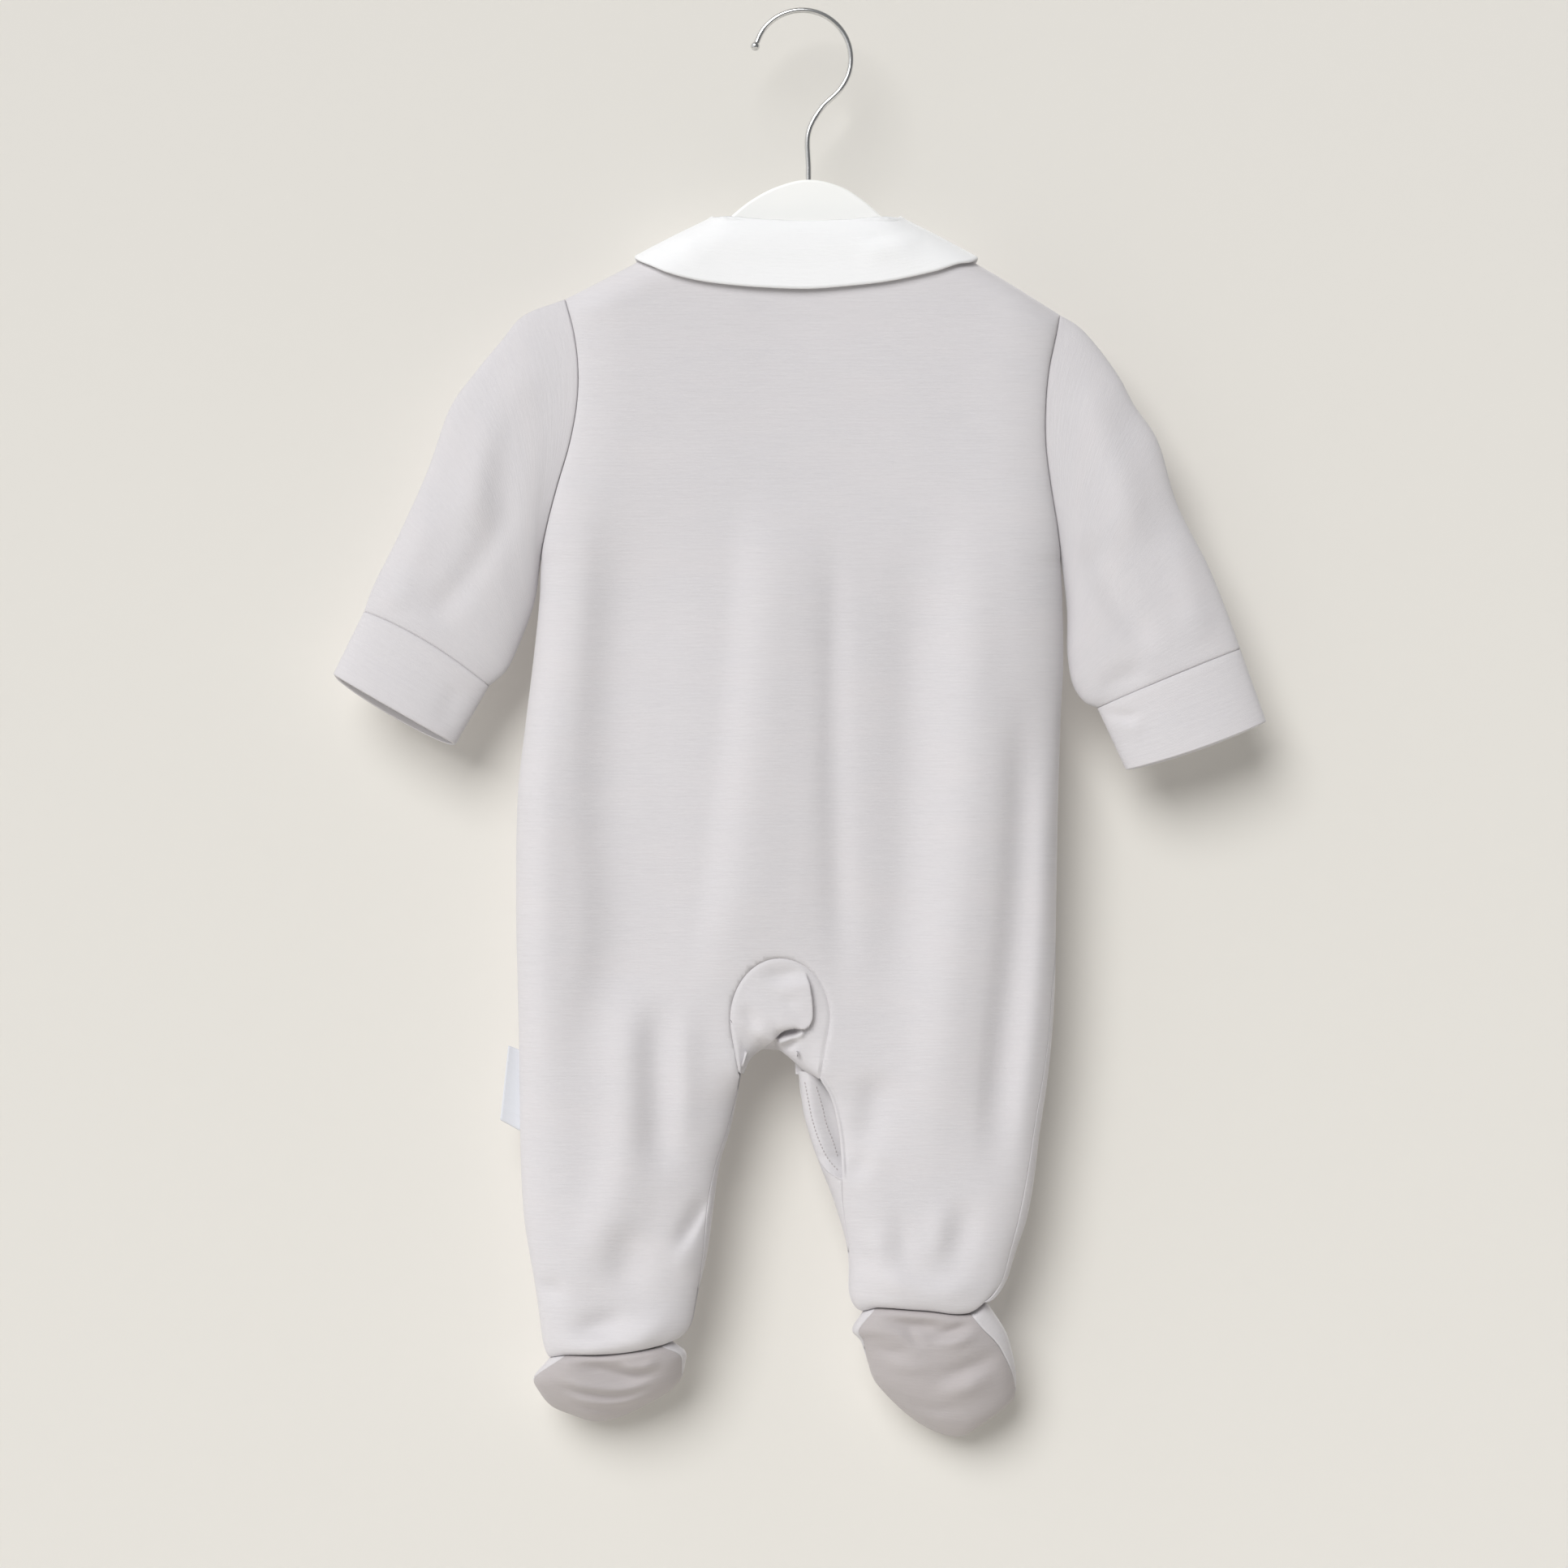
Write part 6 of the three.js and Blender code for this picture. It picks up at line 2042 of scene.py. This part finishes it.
@dataclass
class SideLabel:
    """The bare folded tab in the left side seam."""

    corners: Points = (
        (-125.6, -460.4), (-130.4, -458.3), (-134, -490.7), (-125.2, -495.7),
    )
    wall: tuple[float, float] = (0.9, 0.35)
    rows: int = 40
    columns: int = 14

    def build(self, finishes: Finishes) -> Object:
        """Makes the tab.

        Args:
            finishes: The suit's finishes.

        Returns:
            The piece.
        """
        (ax, az), (bx, bz), (cx, cz), (dx, dz) = self.corners
        shares = (np.linspace(0, 1, count) for count in (self.rows, self.columns))
        down, across = np.meshgrid(*shares, indexing="ij")
        x = mix(mix(bx, ax, across), mix(cx, dx, across), down)
        z = mix(mix(bz, az, across), mix(cz, dz, across), down)
        y = -0.4 + 0.5 * np.sin(down * 3.4) - 1.1 * (1 - across) ** 2
        weave = Weave(np.stack([x, y, z], axis=2))
        return hang(weave, self.wall, "side_label_tape", "label_tape", (finishes.tape,))


@dataclass
class Hanger:
    """The painted board whose arms follow the shoulders, with an arched middle."""

    half_thickness: float = 3
    below: float = 4.3
    left_x: float = -90
    right_x: float = 98
    arm_depth: float = 13
    middle_z: float = -100
    edge_round: float = 1.1
    outline_points: int = 260
    arch: Points = (
        (-37.5, -95.4), (-32.8, -91), (-23, -83.2), (-11.9, -77.4), (1.8, -74.2), (15.8, -77),
        (25.2, -82.4), (34.8, -90.6), (40, -95.6),
    )

    def arm(self, x: float) -> tuple[float, float]:
        """A point on the upper edge of an arm."""
        return float(x), float(shoulder_line(x)) - self.below

    def outline(self) -> Array:
        """The board's closed outline in x and z."""
        left_arm = [self.arm(x) for x in np.linspace(self.left_x, -45, 6)]
        right_arm = [self.arm(x) for x in np.linspace(47, self.right_x, 6)]
        top = spline([*left_arm, *self.arch, *right_arm], self.outline_points)
        foot = [
            (self.right_x, self.arm(self.right_x)[1] - self.arm_depth),
            (70, self.arm(70)[1] - self.arm_depth - 1),
            (40, self.middle_z - 8),
            (20, self.middle_z - 1),
            (FORM.neck_x, self.middle_z),
            (-18, self.middle_z - 1),
            (-38, self.middle_z - 8),
            (-66, self.arm(-66)[1] - self.arm_depth - 1),
            (self.left_x, self.arm(self.left_x)[1] - self.arm_depth),
        ]
        return np.vstack([top, spline(foot, self.outline_points)])

    def build(self, finishes: Finishes) -> Object:
        """Makes the board, its edges rounded over.

        Args:
            finishes: The suit's finishes.

        Returns:
            The piece.
        """
        line = self.outline()
        following = np.roll(line, -1, axis=0) - np.roll(line, 1, axis=0)
        outward = np.stack([-following[:, 1], following[:, 0]], axis=1)
        outward /= np.linalg.norm(outward, axis=1, keepdims=True)
        turn = np.linspace(0, math.pi / 2, 6)
        inset = self.edge_round * (1 - np.sin(turn))
        depth = self.half_thickness - self.edge_round * (1 - np.cos(turn))
        rows = [*zip(-depth, inset), *zip(depth[::-1], inset[::-1])]
        rings = []
        for y, drawn_in in rows:
            place = line - outward * drawn_in
            rings.append(np.stack([place[:, 0], np.full(len(line), y), place[:, 1]], axis=1))
        points = np.stack(rings)
        shell = Weave(points, out=1, is_around=True, lay=points[..., [0, 2]]).shell()
        count = len(line)
        last = (len(rows) - 1) * count
        faces = [*shell.faces, tuple(range(count)), tuple(last + k for k in reversed(range(count)))]
        board = Shell(shell.points, faces, shell.lay)
        piece = dressed(board.to_object("hanger_board", finishes.paint), "white_plastic", "hanger")
        for polygon in list(piece.data.polygons)[-2:]:
            polygon.use_smooth = False
        return piece


@dataclass
class Hook:
    """The chromed wire: a straight stem, a bend, and a round hook with a ball at its end."""

    wire_radius: float = 1.25
    ball_radius: float = 2.05
    stem_x: float = 2.3
    stem_foot_z: float = -85
    bend_z: float = -53
    x: float = -0.5
    radius: float = 21.6
    start_angle: float = -40
    end_angle: float = 165
    step: float = 20.5
    steps: int = 260
    sides: int = 22

    def path(self) -> Array:
        """The middle of the wire."""
        knots = [
            (self.stem_x, 0, self.stem_foot_z),
            (self.stem_x, 0, self.stem_foot_z + 16),
            (self.stem_x, 0, self.bend_z),
            (self.stem_x + 5.5, 0, self.bend_z + 10.5),
        ]
        centre_z = self.wire_radius - self.radius
        for degrees in np.arange(self.start_angle, self.end_angle + 0.1, self.step):
            turn = math.radians(degrees)
            knots.append((self.x + self.radius * math.cos(turn), 0, centre_z + self.radius * math.sin(turn)))
        return spline(knots, self.steps)

    def build(self, finishes: Finishes) -> Object:
        """Makes the hook.

        Args:
            finishes: The suit's finishes.

        Returns:
            The piece.
        """
        path = self.path()
        end = (path[-1] - path[-2]) / np.linalg.norm(path[-1] - path[-2])
        turn = np.linspace(0, math.pi, 16)
        opening = math.asin(self.wire_radius / self.ball_radius)
        turn = mix(opening, math.pi, turn / math.pi)
        ball = path[-1] - end * (self.ball_radius * np.cos(turn))[:, None]
        keep = np.linalg.norm(path - path[-1], axis=1) > self.ball_radius
        line = np.vstack([path[keep], ball])
        radii = np.concatenate(
            [np.full(int(keep.sum()), self.wire_radius), np.maximum(self.ball_radius * np.sin(turn), 0.01)]
        )
        shell = tube(line, radii, self.sides)
        return dressed(shell.to_object("hook_wire", finishes.chrome), "chrome", "hook")


@dataclass
class Studio:
    """The wall close behind that sweeps out to a floor, soft light from the upper left, and the camera."""

    wall_y: float = 0.0345
    wall_top: float = 1.6
    floor_z: float = -1.7
    sweep: float = 0.4
    half_width: float = 3.0
    floor_reach: float = 3.2
    frame_width: float = 0.6955
    lens: float = 100
    sensor: float = 36
    aim: tuple[float, float] = (-0.0086, -0.342)
    key_direction: tuple[float, float, float] = (0.38, 1.0, -0.62)
    key_strength: float = 2.15
    key_spread: float = 36
    side_direction: tuple[float, float, float] = (1.0, 0.6, -0.35)
    side_strength: float = 0.72
    side_spread: float = 85
    rear_direction: tuple[float, float, float] = (-0.35, -1.0, -0.5)
    rear_strength: float = 1.1
    ambient: float = 0.2

    def backdrop(self) -> None:
        """Makes the wall, its sweep and the floor as one sheet."""
        turn = np.linspace(0, math.pi / 2, 12)
        section = [(self.wall_y, self.wall_top)]
        for t in turn:
            out, up = self.sweep * (1 - math.cos(t)), self.sweep * (1 - math.sin(t))
            section.append((self.wall_y - out, self.floor_z + up))
        section.append((-self.floor_reach, self.floor_z))
        vertices = [(side * self.half_width, y, z) for y, z in section for side in (-1, 1)]
        faces = [(2 * k, 2 * k + 2, 2 * k + 3, 2 * k + 1) for k in range(len(section) - 1)]
        mesh = bpy.data.meshes.new("backdrop")
        mesh.from_pydata(vertices, [], faces)
        mesh.polygons.foreach_set("use_smooth", [True] * len(faces))
        mesh.materials.append(WallFinish().build())
        wall = bpy.data.objects.new("backdrop", mesh)
        wall.visible_shadow = False
        bpy.context.scene.collection.objects.link(wall)

    def sun(self, name: str, direction: tuple[float, float, float], strength: float, spread: float) -> None:
        """Adds one broad, even light."""
        light = bpy.data.lights.new(name, "SUN")
        light.energy = strength
        light.angle = math.radians(spread)
        lamp = bpy.data.objects.new(name, light)
        lamp.rotation_mode = "QUATERNION"
        lamp.rotation_quaternion = Vector(direction).to_track_quat("-Z", "Y")
        bpy.context.scene.collection.objects.link(lamp)

    def world(self) -> None:
        """Adds the pale light from all round."""
        world = bpy.data.worlds.new("studio")
        world.use_nodes = True
        bench = Bench(world.node_tree)
        sky = {"Color": (0.97, 0.985, 1.0, 1.0), "Strength": self.ambient}
        glow = bench.add("ShaderNodeBackground", {}, sky)
        bench.add("ShaderNodeOutputWorld", {}, {"Surface": glow.outputs[0]})
        bpy.context.scene.world = world

    def camera(self) -> None:
        """Adds the camera, square to the suit's back."""
        data = bpy.data.cameras.new("camera")
        data.lens = self.lens
        data.sensor_width = self.sensor
        camera = bpy.data.objects.new("camera", data)
        distance = self.frame_width * self.lens / self.sensor
        camera.location = (self.aim[0], -distance, self.aim[1])
        camera.rotation_mode = "QUATERNION"
        camera.rotation_quaternion = Vector((0, 1, 0)).to_track_quat("-Z", "Y")
        bpy.context.scene.collection.objects.link(camera)
        bpy.context.scene.camera = camera

    def build(self) -> None:
        """Sets up the whole studio."""
        self.backdrop()
        self.sun("key", self.key_direction, self.key_strength, self.key_spread)
        self.sun("side", self.side_direction, self.side_strength, self.side_spread)
        self.sun("rear", self.rear_direction, self.rear_strength, self.key_spread)
        self.world()
        self.camera()
        bpy.context.scene.view_settings.view_transform = "Standard"


def main() -> None:
    """Builds every piece round the frame, and the studio."""
    logging.basicConfig(level=logging.INFO, format="%(name)s %(message)s")
    finishes = Finishes.make()
    Hanger().build(finishes)
    Hook().build(finishes)
    BackPanel().build(finishes)
    FrontPanels().build(finishes)
    GUSSET.build(finishes)
    for sleeve in SLEEVES:
        Sleeve(sleeve).build(finishes)
    for foot in FEET:
        Foot(foot).build(finishes)
    Collar().build(finishes)
    LegPlacket().build(finishes)
    FrontPlacket().build(finishes)
    SideLabel().build(finishes)
    Studio().build()


if __name__ == "__main__":
    main()
